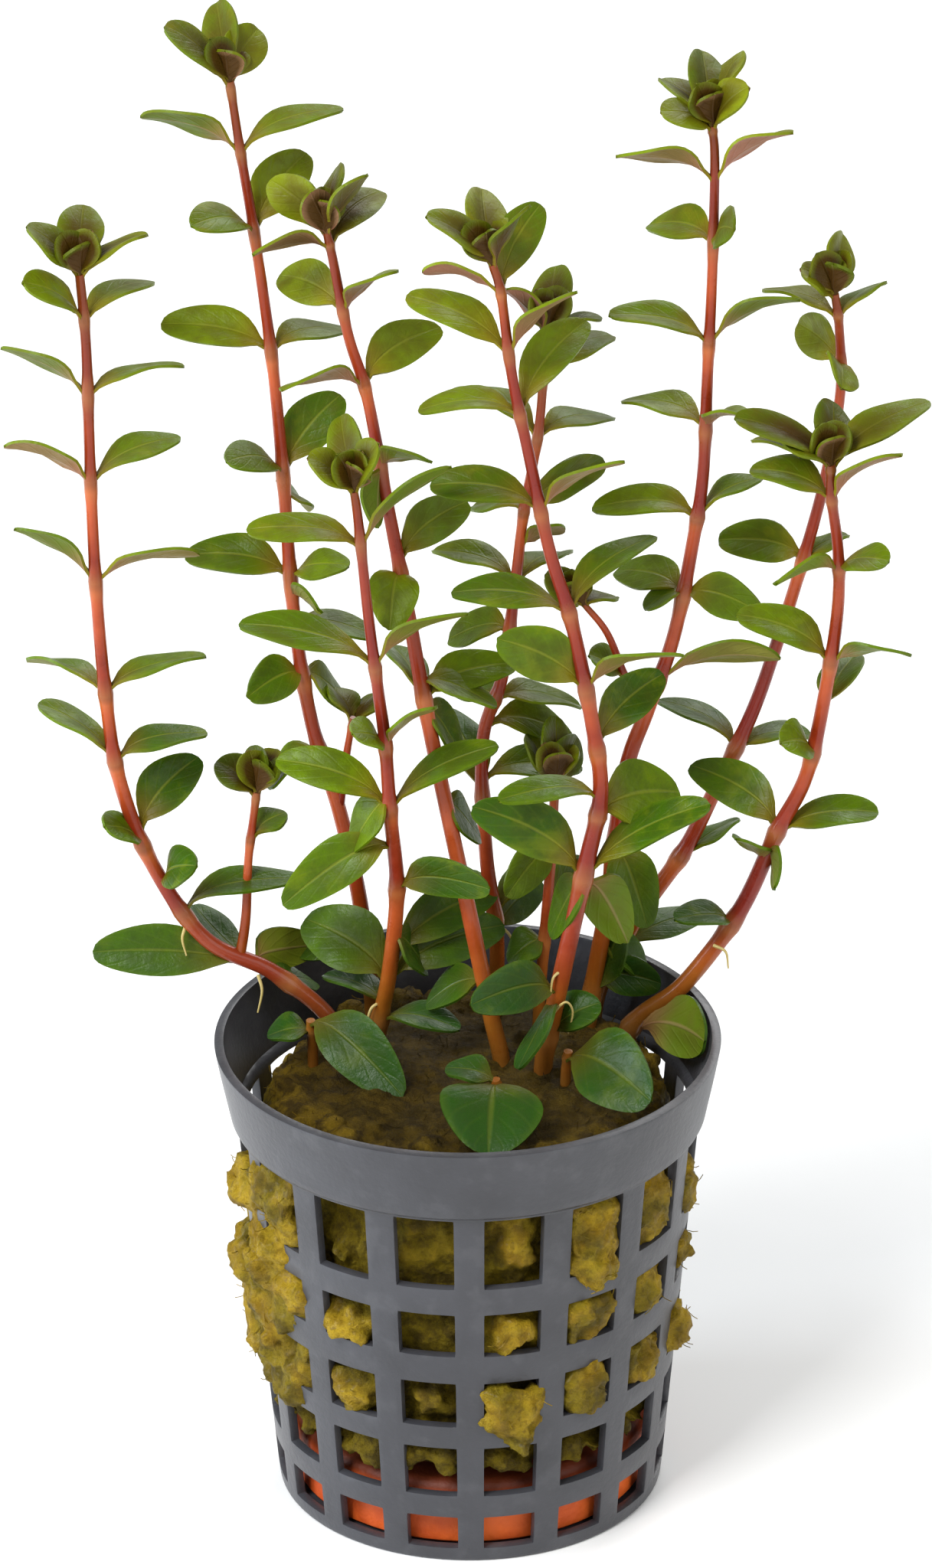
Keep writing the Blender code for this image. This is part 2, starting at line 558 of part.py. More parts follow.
def main():
    clear_scene()
    parts = new_collection("rotala", bpy.context.scene.collection)
    helpers = new_collection("helpers", bpy.context.scene.collection)
    sockets = new_collection("sockets", helpers)
    leaf_green = material("leaf", (0.16, 0.26, 0.03), 0.4)
    build_pot(parts, helpers, material("pot_plastic", (0.16, 0.165, 0.19), 0.55))
    build_ring(parts, helpers, material("clay", (0.6, 0.1, 0.03), 0.8))
    for name, shoot in SHOOTS.items():
        build_shoot(name, shoot, parts, helpers, sockets, leaf_green)
    build_wool(parts, helpers, sockets, material("wool", (0.3, 0.2, 0.02), 0.95))


main()
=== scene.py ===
import bmesh
import bpy
import math
import random
from mathutils import Matrix, Vector
from mathutils.kdtree import KDTree


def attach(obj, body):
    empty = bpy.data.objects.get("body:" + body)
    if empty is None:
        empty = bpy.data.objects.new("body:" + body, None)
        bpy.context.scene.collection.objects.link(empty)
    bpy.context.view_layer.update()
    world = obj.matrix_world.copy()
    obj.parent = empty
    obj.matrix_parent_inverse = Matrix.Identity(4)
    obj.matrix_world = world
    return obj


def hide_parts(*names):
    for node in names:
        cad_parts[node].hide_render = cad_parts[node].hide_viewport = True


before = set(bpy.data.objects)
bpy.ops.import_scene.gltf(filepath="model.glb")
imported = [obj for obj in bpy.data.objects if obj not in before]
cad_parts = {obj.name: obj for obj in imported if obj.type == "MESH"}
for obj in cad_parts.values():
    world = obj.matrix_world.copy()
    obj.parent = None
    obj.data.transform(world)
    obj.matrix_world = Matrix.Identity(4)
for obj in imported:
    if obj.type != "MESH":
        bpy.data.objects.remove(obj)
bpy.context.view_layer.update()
mm = 0.001
back, side, near = 1.0, 0.0, -1.0

# where the photograph was taken from; stems and leaves are laid out along its sight lines
camera = {
    "elevation": 26.2,
    "roll": -0.38,
    "distance": 1000.0,
    "target": Vector((0.0, 0.0, 84.0)),
    "lens": 214.6,
}
eye = Vector((0.0, -897.3, 525.5))


def deselectAll():
    if bpy.context.object and bpy.context.object.mode != "OBJECT":
        bpy.ops.object.mode_set(mode="OBJECT")
    bpy.ops.object.select_all(action="DESELECT")
    bpy.context.tool_settings.mesh_select_mode = (True, False, False)


def pick(thing):
    deselectAll()
    thing.select_set(True)
    bpy.context.view_layer.objects.active = thing


def addThing(name, data):
    thing = bpy.data.objects.new(name, data)
    bpy.context.scene.collection.objects.link(thing)
    return thing


def applyModifier(thing, kind, **settings):
    pick(thing)
    modifier = thing.modifiers.new(kind.lower(), kind)
    for key, value in settings.items():
        setattr(modifier, key, value)
    bpy.ops.object.modifier_apply(modifier=modifier.name)


def finishPiece(thing, name, node, smoothAngle=40):
    pick(thing)
    thing.name = thing.data.name = name
    bpy.ops.object.transform_apply(location=True, rotation=True, scale=True)
    bpy.ops.object.shade_smooth_by_angle(angle=math.radians(smoothAngle))
    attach(thing, "root")
    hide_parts(node)
    print(name, len(thing.data.polygons), "faces")


class Wire:
    def __init__(self, paint, socket):
        self.paint = paint
        self.socket = socket

    def __add__(self, other):
        return self.paint.sum("ADD", self, other)

    def __sub__(self, other):
        return self.paint.sum("SUBTRACT", self, other)

    def __rsub__(self, other):
        return self.paint.sum("SUBTRACT", other, self)

    def __mul__(self, other):
        return self.paint.sum("MULTIPLY", self, other)

    def __pow__(self, other):
        return self.paint.sum("POWER", self, other)

    __radd__ = __add__
    __rmul__ = __mul__


class Paint:
    def __init__(self, name, **fixed):
        self.material = bpy.data.materials.new(name)
        self.material.use_nodes = True
        self.tree = self.material.node_tree
        self.shader = self.tree.nodes["Principled BSDF"]
        for key, value in fixed.items():
            self.shader.inputs[key.replace("_", " ")].default_value = value

    def feed(self, socket, value):
        if isinstance(value, Wire):
            self.tree.links.new(value.socket, socket)
        elif isinstance(value, tuple) and len(value) == 3 and socket.type == "RGBA":
            socket.default_value = (*value, 1.0)
        else:
            socket.default_value = value

    def node(self, kind, settings=None, inputs=None, output=0):
        made = self.tree.nodes.new("ShaderNode" + kind)
        for key, value in (settings or {}).items():
            setattr(made, key, value)
        for key, value in (inputs or {}).items():
            self.feed(made.inputs[key], value)
        return Wire(self, made.outputs[output])

    def sum(self, operation, left, right):
        return self.node("Math", {"operation": operation}, {0: left, 1: right})

    def mix(self, share, low, high):
        return self.node("Mix", {"data_type": "RGBA"}, {0: share, 6: low, 7: high}, 2)

    def ramp(self, value, low, high):
        settings = {"interpolation_type": "SMOOTHSTEP"}
        return self.node("MapRange", settings, {0: value, 1: low, 2: high, 3: 0.0, 4: 1.0})

    def place(self):
        return self.node("TexCoord", output=3)

    def noise(self, size, detail=3.0, rough=0.55):
        values = {"Vector": self.place(), "Scale": 1.0 / size, "Detail": detail, "Roughness": rough}
        return self.node("TexNoise", {}, values)

    def along(self, axis, vector=None):
        return self.node("SeparateXYZ", {}, {0: vector or self.place()}, "xyz".index(axis))

    def attribute(self, name):
        return self.node("Attribute", {"attribute_name": name}, output=2)

    def put(self, **values):
        for key, value in values.items():
            self.feed(self.shader.inputs[key.replace("_", " ")], value)

    def bump(self, height, distance, strength=1.0):
        values = {"Height": height, "Distance": distance, "Strength": strength}
        self.put(Normal=self.node("Bump", {}, values))


def potPlastic():
    paint = Paint("slatePlastic", Specular_IOR_Level=0.5)
    cloud = paint.noise(9 * mm, 4)
    film = paint.ramp(paint.noise(3 * mm, 5), 0.5, 0.72)
    shade = paint.mix(cloud, (0.021, 0.021, 0.024), (0.057, 0.058, 0.067))
    paint.put(Base_Color=paint.mix(film * 0.12, shade, (0.15, 0.15, 0.16)))
    paint.put(Roughness=0.26 + 0.20 * cloud)
    paint.bump(paint.noise(0.7 * mm, 4), 0.00012, 0.5)
    return paint.material


def wetClay():
    paint = Paint("wetClay", Specular_IOR_Level=0.4)
    cloud = paint.ramp(paint.noise(6 * mm, 5), 0.35, 0.7)
    grain = paint.noise(0.8 * mm, 5)
    # the top face and rounded upper edge are painted dark red-brown: painted shade under the wool
    shadedTop = paint.ramp(paint.along("z"), 0.0070, 0.0082)
    shade = paint.mix(cloud, (0.48, 0.064, 0.006), (0.76, 0.135, 0.015))
    shade = paint.mix(grain * 0.3, shade, (0.6, 0.08, 0.012))
    paint.put(Base_Color=paint.mix(shadedTop * 0.9, shade, (0.12, 0.022, 0.006)))
    paint.put(Roughness=0.45 + 0.25 * grain)
    paint.bump(grain, 0.0002, 0.6)
    return paint.material


def wetWool():
    paint = Paint("wetWool", Specular_IOR_Level=0.12, Coat_Roughness=0.3)
    clump = paint.ramp(paint.noise(2.6 * mm, 6, 0.7), 0.38, 0.62)
    fibre = paint.noise(0.6 * mm, 6, 0.75)
    x, y = paint.along("x"), paint.along("y")
    reach = (x * x + y * y) ** 0.5
    top = paint.ramp(paint.along("z"), 0.0455, 0.0480)
    rim = paint.ramp(reach, 0.0150, 0.0215)
    outside = paint.ramp(reach, 0.0216, 0.0236)
    drift = paint.ramp(paint.noise(6 * mm, 3), 0.38, 0.62)
    olive = paint.mix(clump, (0.050, 0.034, 0.003), (0.21, 0.15, 0.006))
    deep = paint.mix(clump, (0.12, 0.085, 0.003), (0.34, 0.25, 0.008))
    mustard = paint.mix(drift, deep, paint.mix(clump, (0.34, 0.20, 0.005), (0.66, 0.43, 0.020)))
    brown = paint.mix(clump, (0.024, 0.014, 0.002), (0.085, 0.052, 0.005))
    gold = paint.mix(clump, (0.045, 0.026, 0.004), (0.24, 0.15, 0.008))
    crumb = paint.ramp(paint.noise(1.3 * mm, 5, 0.7), 0.54, 0.66)
    mustard = paint.mix(crumb * 0.6, mustard, (0.15, 0.085, 0.005))
    # wool inside the pot wall is a darker olive and the tufts out in the windows a brighter mustard:
    # partly the wool's own wet colour, partly painted shade in the recesses
    shade = paint.mix(outside, olive, mustard)
    shade = paint.mix(top * (1.0 - outside * 0.5), shade, paint.mix(rim, brown, gold))
    paint.put(Base_Color=paint.mix(fibre * 0.3, shade, (0.16, 0.105, 0.010)))
    paint.put(Roughness=0.45 + 0.3 * fibre, Coat_Weight=outside * 0.12)
    paint.bump(fibre + paint.noise(1.6 * mm, 4), 0.0010, 1.0)
    return paint.material


def leafSkin(name, upper):
    paint = Paint(name, Specular_IOR_Level=0.13)
    age = paint.attribute("freshness")
    luck = paint.attribute("luck")
    spot = paint.node("UVMap", {"uv_map": "UVMap"})
    across = paint.along("x", spot) - 0.5
    offRib = paint.node("Math", {"operation": "ABSOLUTE"}, {0: across})
    along = paint.along("y", spot)
    rib = (1.0 - paint.ramp(offRib, 0.008, 0.045)) * (1.0 - along * 0.6)
    wave = paint.sum("PINGPONG", along * 6.0 - offRib * 4.0, 0.5)
    vein = (1.0 - paint.ramp(wave, 0.0, 0.16)) * paint.ramp(offRib, 0.03, 0.12)
    cloud = paint.ramp(paint.noise(2.4 * mm, 5, 0.6), 0.3, 0.7)
    blotch = paint.ramp(paint.noise(4.2 * mm, 4, 0.6), 0.52, 0.72)
    fine = paint.noise(0.35 * mm, 4, 0.6)
    foot = 1.0 - paint.ramp(along, 0.05, 0.42)
    edge = paint.ramp(offRib, 0.38, 0.5)
    inner = (1.0 - paint.ramp(along, 0.35, 0.95)) * (1.0 - paint.ramp(offRib, 0.12, 0.52))
    bronze = paint.attribute("bronze") * (0.2 + 0.8 * inner)
    # leaves low in the plant are darkened towards deep green by height: painted shade
    low = 1.0 - paint.ramp(paint.along("z"), 0.054, 0.080)
    if upper:
        deep = paint.mix(luck, (0.014, 0.062, 0.002), (0.085, 0.160, 0.002))
        young = paint.mix(luck, (0.080, 0.135, 0.002), (0.200, 0.240, 0.003))
        dusk = paint.mix(age, (0.030, 0.055, 0.003), (0.105, 0.082, 0.003))
        light = paint.mix(age, (0.120, 0.170, 0.003), (0.200, 0.190, 0.004))
        shade = paint.mix(age, deep, young)
        shade = paint.mix(cloud * 0.6, shade, dusk)
        shade = paint.mix(blotch * 0.5, shade, light)
        shade = paint.mix(vein * 0.07, shade, (0.16, 0.24, 0.01))
        shade = paint.mix(edge * 0.22, shade, (0.15, 0.23, 0.006))
        shade = paint.mix(rib * 0.42, shade, (0.28, 0.30, 0.03))
        shade = paint.mix(foot * 0.5, shade, (0.26, 0.13, 0.012))
        shade = paint.mix(low * 0.5, shade, (0.010, 0.043, 0.009))
        shade = paint.mix(bronze * 0.9, shade, (0.050, 0.026, 0.002))
        paint.put(Base_Color=shade, Roughness=0.25 + 0.16 * cloud + 0.1 * age)
    else:
        pale = paint.mix(luck, (0.090, 0.15, 0.006), (0.17, 0.22, 0.012))
        mauve = paint.mix(luck, (0.22, 0.105, 0.055), (0.33, 0.14, 0.10))
        blush = paint.ramp(luck, 0.35, 0.75) * age
        shade = paint.mix(blush, pale, mauve)
        shade = paint.mix(cloud * 0.3, shade, (0.12, 0.085, 0.02))
        shade = paint.mix(rib * 0.5, shade, (0.40, 0.25, 0.14))
        shade = paint.mix(foot * 0.6, shade, (0.40, 0.13, 0.085))
        shade = paint.mix(bronze, shade, (0.060, 0.028, 0.005))
        paint.put(Base_Color=shade, Roughness=0.4 + 0.15 * cloud)
    relief = (cloud * 0.5 - rib - vein * 0.14) if upper else (cloud * 0.3 + rib + vein * 0.3)
    paint.bump(relief + fine * 0.25, 0.00022, 0.55)
    return paint.material


def stemSkin():
    paint = Paint("stemSkin", Specular_IOR_Level=0.22, Coat_Weight=0.2, Coat_Roughness=0.06)
    travel = paint.attribute("internode")
    climb = paint.attribute("climb")
    ruddy = paint.attribute("ruddy")
    luck = paint.noise(3.2 * mm, 4, 0.6)
    height = paint.along("z")
    woody = 1.0 - paint.ramp(height, 0.050, 0.070)
    # stems are painted dark brown near their feet, where they go into the wool: painted shade
    sunk = 1.0 - paint.ramp(height, 0.048, 0.059)
    red = paint.mix(luck, (0.125, 0.007, 0.002), (0.290, 0.024, 0.005))
    pale = paint.mix(luck, (0.39, 0.055, 0.009), (0.56, 0.125, 0.036))
    bark = paint.mix(luck, (0.30, 0.070, 0.006), (0.26, 0.140, 0.010))
    drift = paint.ramp(paint.noise(15 * mm, 2), 0.40, 0.62)
    shade = paint.mix(paint.ramp(travel, 0.15, 1.0) * (0.9 - 0.5 * drift) + luck * 0.1, red, pale)
    shade = paint.mix(ruddy * 0.62, shade, (0.165, 0.010, 0.009))
    shade = paint.mix(paint.ramp(climb, 0.80, 1.0) * 0.75, shade, (0.15, 0.034, 0.006))
    shade = paint.mix(woody * (0.75 - 0.55 * ruddy), shade, bark)
    shade = paint.mix(paint.attribute("node") * 0.4, shade, (0.36, 0.17, 0.05))
    shade = paint.mix(sunk * 0.65, shade, (0.075, 0.036, 0.006))
    paint.put(Base_Color=shade, Roughness=0.20 + 0.20 * luck)
    paint.bump(paint.noise(0.9 * mm, 3), 0.00014, 0.5)
    return paint.material


def rootSkin():
    paint = Paint("rootSkin", Roughness=0.4)
    paint.put(Base_Color=paint.mix(paint.noise(1.5 * mm, 3), (0.34, 0.26, 0.06), (0.52, 0.40, 0.16)))
    return paint.material


# the net pot, in millimetres: sixteen ribs and five rows of windows, top and bottom, under a plain band
pot = {
    "rimTop": 53.4, "rimRadius": 27.5, "bandBottom": 44.9, "bandRadius": 25.9,
    "bodyTopRadius": 25.2, "baseRadius": 21.1, "wall": 1.0, "edge": 0.14,
    "ribs": 16, "halfRib": 3.75, "cells": 96,
    "windows": ((44.4, 35.6), (32.3, 26.9), (23.4, 17.7), (14.9, 8.6), (5.8, 1.7)),
    "corner": 1.1, "cornerCrease": 0.6,
}


def ringStack(profile, sides):
    # rings from the top down, each one extruded from the last and scaled to its radius
    deselectAll()
    radius, height = profile[0]
    bpy.ops.mesh.primitive_circle_add(vertices=sides, radius=radius * mm, location=(0, 0, 0))
    thing = bpy.context.object
    bpy.ops.object.mode_set(mode="EDIT")
    bpy.ops.mesh.select_all(action="SELECT")
    bpy.ops.transform.translate(value=(0, 0, height * mm))
    for nextRadius, nextHeight in profile[1:]:
        drop = (0, 0, (nextHeight - height) * mm)
        bpy.ops.mesh.extrude_region_move(TRANSFORM_OT_translate={"value": drop})
        share = nextRadius / radius
        bpy.ops.transform.resize(value=(share, share, 1), center_override=(0, 0, nextHeight * mm))
        radius, height = nextRadius, nextHeight
    bpy.ops.object.mode_set(mode="OBJECT")
    return thing


def editMesh(thing, work):
    bm = bmesh.new()
    bm.from_mesh(thing.data)
    work(bm)
    bm.to_mesh(thing.data)
    bm.free()
    thing.data.update()


def closeUp(thing):
    def work(bm):
        bmesh.ops.remove_doubles(bm, verts=bm.verts, dist=0.00002)
        bmesh.ops.recalc_face_normals(bm, faces=bm.faces)
    editMesh(thing, work)


def bodyRadius(height):
    return pot["baseRadius"] + (pot["bodyTopRadius"] - pot["baseRadius"]) * height / pot["bandBottom"]


def sharpenCorners(thing):
    # the windows keep most of their corners when the pot is smoothed
    def work(bm):
        crease = bm.verts.layers.float.new("crease_vert")
        for vertex in bm.verts:
            if vertex.is_boundary and len(vertex.link_faces) == 3:
                vertex[crease] = pot["cornerCrease"]
    editMesh(thing, work)


def makePot():
    corner = pot["corner"]
    heights = []
    for high, low in pot["windows"]:
        heights += [high, high - corner, (high + low) / 2, low + corner, low]
    wall = [(bodyRadius(z), z) for z in heights]
    rim, band = pot["rimRadius"], pot["bandRadius"]
    top = [(rim, pot["rimTop"]), (rim - 0.06, pot["rimTop"] - 0.5), (rim - 0.8, 49.0),
           (band + 0.05, 45.5), (band, 45.0), (bodyRadius(44.7), 44.7)]
    base = pot["baseRadius"]
    bottom = [(base + 0.05, 0.7), (base, 0.15), (base - 0.25, 0.0), (base - 1.2, 0.0),
              (12, 0), (4, 0), (0.001, 0)]
    thing = ringStack(top + wall + bottom, pot["cells"])
    closeUp(thing)
    thing.data.transform(Matrix.Rotation(math.radians(360 / pot["cells"]), 4, "Z"))
    pitch = 360.0 / pot["ribs"]
    pick(thing)
    bpy.context.tool_settings.mesh_select_mode = (False, False, True)
    for face in thing.data.polygons:
        angle = math.degrees(math.atan2(face.center.y, face.center.x))
        offRib = abs((angle - 270 + pitch / 2) % pitch - pitch / 2)
        z = face.center.z / mm
        face.select = offRib > pot["halfRib"] and any(low < z < high for high, low in pot["windows"])
    bpy.ops.object.mode_set(mode="EDIT")
    bpy.ops.mesh.delete(type="FACE")
    bpy.ops.object.mode_set(mode="OBJECT")
    sharpenCorners(thing)
    applyModifier(thing, "SUBSURF", levels=1, render_levels=1)
    applyModifier(thing, "SOLIDIFY", thickness=pot["wall"] * mm, offset=-1.0, use_even_offset=True)
    applyModifier(thing, "BEVEL", width=pot["edge"] * mm, segments=2, limit_method="ANGLE",
                  angle_limit=math.radians(50))
    thing.data.materials.append(potPlastic())
    finishPiece(thing, "net_pot_fine", "net_pot")


# the clay ring: its radii, its top and underside, and the rounding of its top edge
clay = {"outer": 19.4, "inner": 9.0, "top": 8.8, "edge": 1.4, "floor": 1.3}


def makeClay():
    outer, inner, top, edge = clay["outer"], clay["inner"], clay["top"], clay["edge"]
    rounded = [(outer - edge + edge * math.sin(a), top - edge + edge * math.cos(a))
               for a in [math.pi / 2 * i / 6 for i in range(7)]]
    profile = [(inner, clay["floor"]), (inner, 5.0), (inner, top - 0.4), (inner + 0.4, top), (13, top)]
    profile += rounded + [(outer, 5.5), (outer, clay["floor"] + 0.3), (outer - 0.3, clay["floor"])]
    profile += [(inner, clay["floor"])]
    thing = ringStack(profile, 96)
    closeUp(thing)
    thing.data.materials.append(wetClay())
    finishPiece(thing, "clay_ring_fine", "clay_ring")


# the rock wool: its core by radius and height, the crumbs it is built up from and its loose fibres
wool = {
    "profile": ((0.001, 49.2), (7, 49.4), (14, 49.0), (19.2, 48.7), (21.4, 47.4), (22.2, 45),
                (22.1, 40), (22.0, 36), (21.7, 30), (21.2, 24), (20.7, 19), (20.1, 14.5),
                (20.0, 12.6), (19.4, 11.0), (15.5, 9.5), (10, 9.2), (0.001, 9.2)),
    "grain": 0.5,
    "lumps": ((6.0, 2.0), (2.2, 1.5), (0.9, 0.8)),
    "crumb": (0.9, 1.7),
    "tuftCurve": 0.7,
    "sunkCrumb": 1.2,
    "fringe": {"crumbs": 200, "out": (19.8, 21.0), "height": (10.9, 13.8), "size": (0.7, 1.3)},
    "top": {"crumbs": 90, "reach": 20.5, "height": 47.6, "size": (1.0, 2.4)},
    "fibre": {"count": 420, "radius": 0.055, "length": (1.0, 2.4), "above": 0.0465, "beyond": 0.0235},
    # angle from the front, height, half width, half height, reach of each tuft
    "tufts": (
        (-101, 29.4, 2.6, 2.6, 25.8), (-101, 20.5, 2.5, 2.6, 25.0),
        (-90, 36.6, 2.4, 1.6, 25.6), (-90, 28.8, 2.4, 2.2, 26.0), (-90, 21.4, 2.2, 3.4, 25.2),
        (-78.8, 38.0, 3.0, 3.0, 26.8), (-78.8, 29.0, 2.8, 2.6, 26.8), (-78.8, 20.8, 2.6, 3.4, 25.8),
        (-67.5, 40.4, 2.4, 4.0, 26.6), (-67.5, 30.6, 2.3, 3.4, 26.3), (-67.5, 21.6, 2.2, 3.8, 25.3),
        (-56.2, 40.0, 3.1, 4.6, 26.0), (-56.2, 29.6, 3.0, 3.0, 25.4), (-56.2, 20.5, 2.9, 3.0, 24.7),
        (-59, 16.4, 2.5, 1.7, 24.3), (-70, 16.2, 2.4, 1.8, 24.3), (-80, 16.8, 2.0, 1.5, 24.2),
        (-62, 34.2, 3.2, 1.9, 26.3), (-71, 34.2, 2.2, 1.6, 26.0),
        (-62, 25.2, 3.0, 1.8, 25.6), (-74, 25.2, 3.0, 2.0, 26.2),
        (-37.5, 37.6, 0.9, 2.6, 24.4), (-36.5, 28.6, 2.2, 1.5, 25.4), (-32.0, 27.4, 1.8, 0.9, 24.8),
        (-33.8, 20.4, 2.9, 2.7, 24.2), (-11.2, 20.0, 2.6, 2.0, 22.8), (13.5, 39.8, 1.8, 3.8, 24.2),
        (11.2, 29.0, 2.9, 2.1, 25.0), (11.4, 20.4, 2.6, 2.7, 25.8), (12.6, 17.4, 1.7, 1.6, 25.9),
        (13.4, 15.4, 0.9, 1.4, 25.8), (33.8, 39.8, 3.1, 4.2, 26.2), (34.2, 36.2, 2.3, 1.9, 27.0),
        (33.8, 29.6, 3.0, 2.9, 25.4), (33.8, 20.5, 2.9, 2.9, 24.8), (56.2, 40.0, 3.0, 4.3, 25.8),
        (56.2, 29.6, 2.9, 2.8, 25.2), (56.2, 20.5, 2.8, 2.8, 24.4), (78.8, 37.6, 2.4, 2.6, 25.8),
        (78.8, 29.6, 2.6, 2.5, 25.6), (78.8, 20.5, 2.6, 2.6, 25.0), (101, 20.5, 2.6, 2.6, 24.2),
        (124, 20.5, 2.6, 2.6, 24.6), (146, 40.0, 2.8, 3.8, 25.8),
        (169, 29.6, 2.7, 2.6, 25.0), (191, 40.0, 2.6, 3.6, 25.2), (191, 29.6, 2.6, 2.6, 25.4),
        (214, 20.5, 2.6, 2.6, 24.6), (236, 40.0, 2.8, 3.8, 26.0), (236, 29.6, 2.6, 2.6, 25.2),
        (33.8, 40.6, 3.1, 4.1, 25.2), (33.8, 29.6, 3.0, 2.8, 24.8), (33.8, 20.5, 2.9, 2.8, 24.3),
        (56.2, 40.2, 3.1, 4.3, 25.2), (56.2, 29.6, 3.0, 2.9, 24.8), (56.2, 20.5, 2.9, 2.8, 24.2),
        (-33.8, 19.6, 3.0, 2.4, 23.6), (-34.4, 29.0, 2.6, 2.0, 23.8), (78.8, 38.6, 2.8, 3.6, 25.2),
    ),
}


def makeWool():
    chance = random.Random(7)
    body = ringStack(wool["profile"], 64)
    closeUp(body)
    bpy.ops.mesh.primitive_ico_sphere_add(subdivisions=2, radius=mm, location=(0, 0, 0))
    ball = bpy.context.object
    crumbs = [body, ball]

    def addCrumb(place, size):
        crumb = ball.copy()
        crumb.data = ball.data.copy()
        crumb.data.transform(Matrix.Translation(place * mm) @ Matrix.Scale(size, 4))
        bpy.context.scene.collection.objects.link(crumb)
        crumbs.append(crumb)

    (least, most), curve = wool["crumb"], wool["tuftCurve"]
    for angle, height, halfWidth, halfHeight, reach in wool["tufts"]:
        turn = Matrix.Rotation(math.radians(angle - 90), 3, "Z")
        for i in range(int(6 + halfWidth * halfHeight * 3)):
            size = min(chance.uniform(least, most), halfWidth, halfHeight)
            aside, above = chance.uniform(-1, 1), chance.uniform(-1, 1)
            sunk = wool["sunkCrumb"] if i % 3 == 0 else 0
            out = reach - size - curve * aside**2 - curve * above**2 - chance.uniform(0.0, 0.9) - sunk
            slack = -0.3 if sunk else 0.5 * size
            spread = Vector((out, aside * (halfWidth - slack), height + above * (halfHeight - slack)))
            addCrumb(turn @ spread, size)
    fringe, top = wool["fringe"], wool["top"]
    for _ in range(fringe["crumbs"]):
        turn = Matrix.Rotation(chance.uniform(0, 2 * math.pi), 3, "Z")
        place = Vector((chance.uniform(*fringe["out"]), 0, chance.uniform(*fringe["height"])))
        addCrumb(turn @ place, chance.uniform(*fringe["size"]))
    for _ in range(top["crumbs"]):
        angle, out = chance.uniform(0, 2 * math.pi), top["reach"] * chance.random() ** 0.55
        height = top["height"] + chance.uniform(-0.3, 0.7)
        place = Vector((out * math.cos(angle), out * math.sin(angle), height))
        addCrumb(place, chance.uniform(*top["size"]))
    ball.data.transform(Matrix.Translation((0, 0, 30 * mm)))
    deselectAll()
    for crumb in crumbs:
        crumb.select_set(True)
    bpy.context.view_layer.objects.active = body
    bpy.ops.object.join()
    bpy.ops.object.transform_apply(location=True, rotation=True, scale=True)
    applyModifier(body, "REMESH", mode="VOXEL", voxel_size=wool["grain"] * mm)
    for size, strength in wool["lumps"]:
        grain = bpy.data.textures.new(f"woolGrain{size}", "CLOUDS")
        grain.noise_scale = size * mm
        grain.noise_depth = 3
        applyModifier(body, "DISPLACE", texture=grain, strength=strength * mm, mid_level=0.55,
                      texture_coords="LOCAL")
    skin = wetWool()
    body.data.materials.append(skin)
    finishPiece(body, "rockwool_fine", "rockwool", 80)
    strands = looseFibres(body, chance)
    strands.data.materials.append(skin)
    finishPiece(strands, "rockwool_fibres", "rockwool", 80)


def looseFibres(body, chance):
    # one thin curved strand, copied over the wool's surface with its own turn and length
    fibre = wool["fibre"]
    deselectAll()
    bpy.ops.mesh.primitive_cylinder_add(vertices=3, radius=fibre["radius"] * mm, depth=mm,
                                        location=(0, 0, 0))
    pattern = bpy.context.object
    bpy.ops.object.mode_set(mode="EDIT")
    bpy.ops.mesh.select_all(action="SELECT")
    bpy.ops.mesh.bisect(plane_co=(0, 0, 0.2 * mm), plane_no=(0, 0, 1))
    bpy.ops.mesh.select_all(action="SELECT")
    bpy.ops.mesh.bisect(plane_co=(0, 0, -0.2 * mm), plane_no=(0, 0, 1))
    bpy.ops.object.mode_set(mode="OBJECT")
    for vertex in pattern.data.vertices:
        vertex.co.x += 0.9 * vertex.co.z**2 / mm
    outer = [v for v in body.data.vertices
             if v.co.z > fibre["above"] or math.hypot(v.co.x, v.co.y) > fibre["beyond"]]
    strands = []
    for vertex in chance.sample(outer, fibre["count"]):
        lean = Vector([chance.uniform(-1, 1) for _ in range(3)])
        along = (vertex.normal * 0.35 + lean).normalized()
        mesh = pattern.data.copy()
        mesh.transform(Matrix.Diagonal((1, 1, chance.uniform(*fibre["length"]), 1)))
        mesh.transform(along.to_track_quat("Z", "X").to_matrix().to_4x4())
        mesh.transform(Matrix.Translation(vertex.co + vertex.normal * 0.1 * mm))
        strands.append(addThing("strand", mesh))
    bpy.data.objects.remove(pattern)
    return joinAll(strands)


# a leaf's usual size, how it clasps the stem and turns flat, and how much leaves differ
leafShape = {
    "length": 10.5, "width": 5.0, "thickness": 0.32, "hug": 0.28, "twist": 0.35,
    "showsTop": 2.4, "cells": (8, 16),
    "ripple": (0.2, 0.6), "cup": (0.4, 2.2), "droop": (-0.02, 0.09), "freshFrom": 62.0,
}

# the closed leaves over a growing tip: how far out and up the outer and the inner pair reach
bud = {"outer": (1.3, 5.0), "inner": (0.6, 4.0), "sunk": 0.4, "width": 4.2}

# a stem's depth in the wool, its smoothness, and the swelling at each pair of leaves
stemShape = {"planted": 12, "steps": 10, "jointGap": 6, "swelling": 0.26, "swellingLength": 1.1}

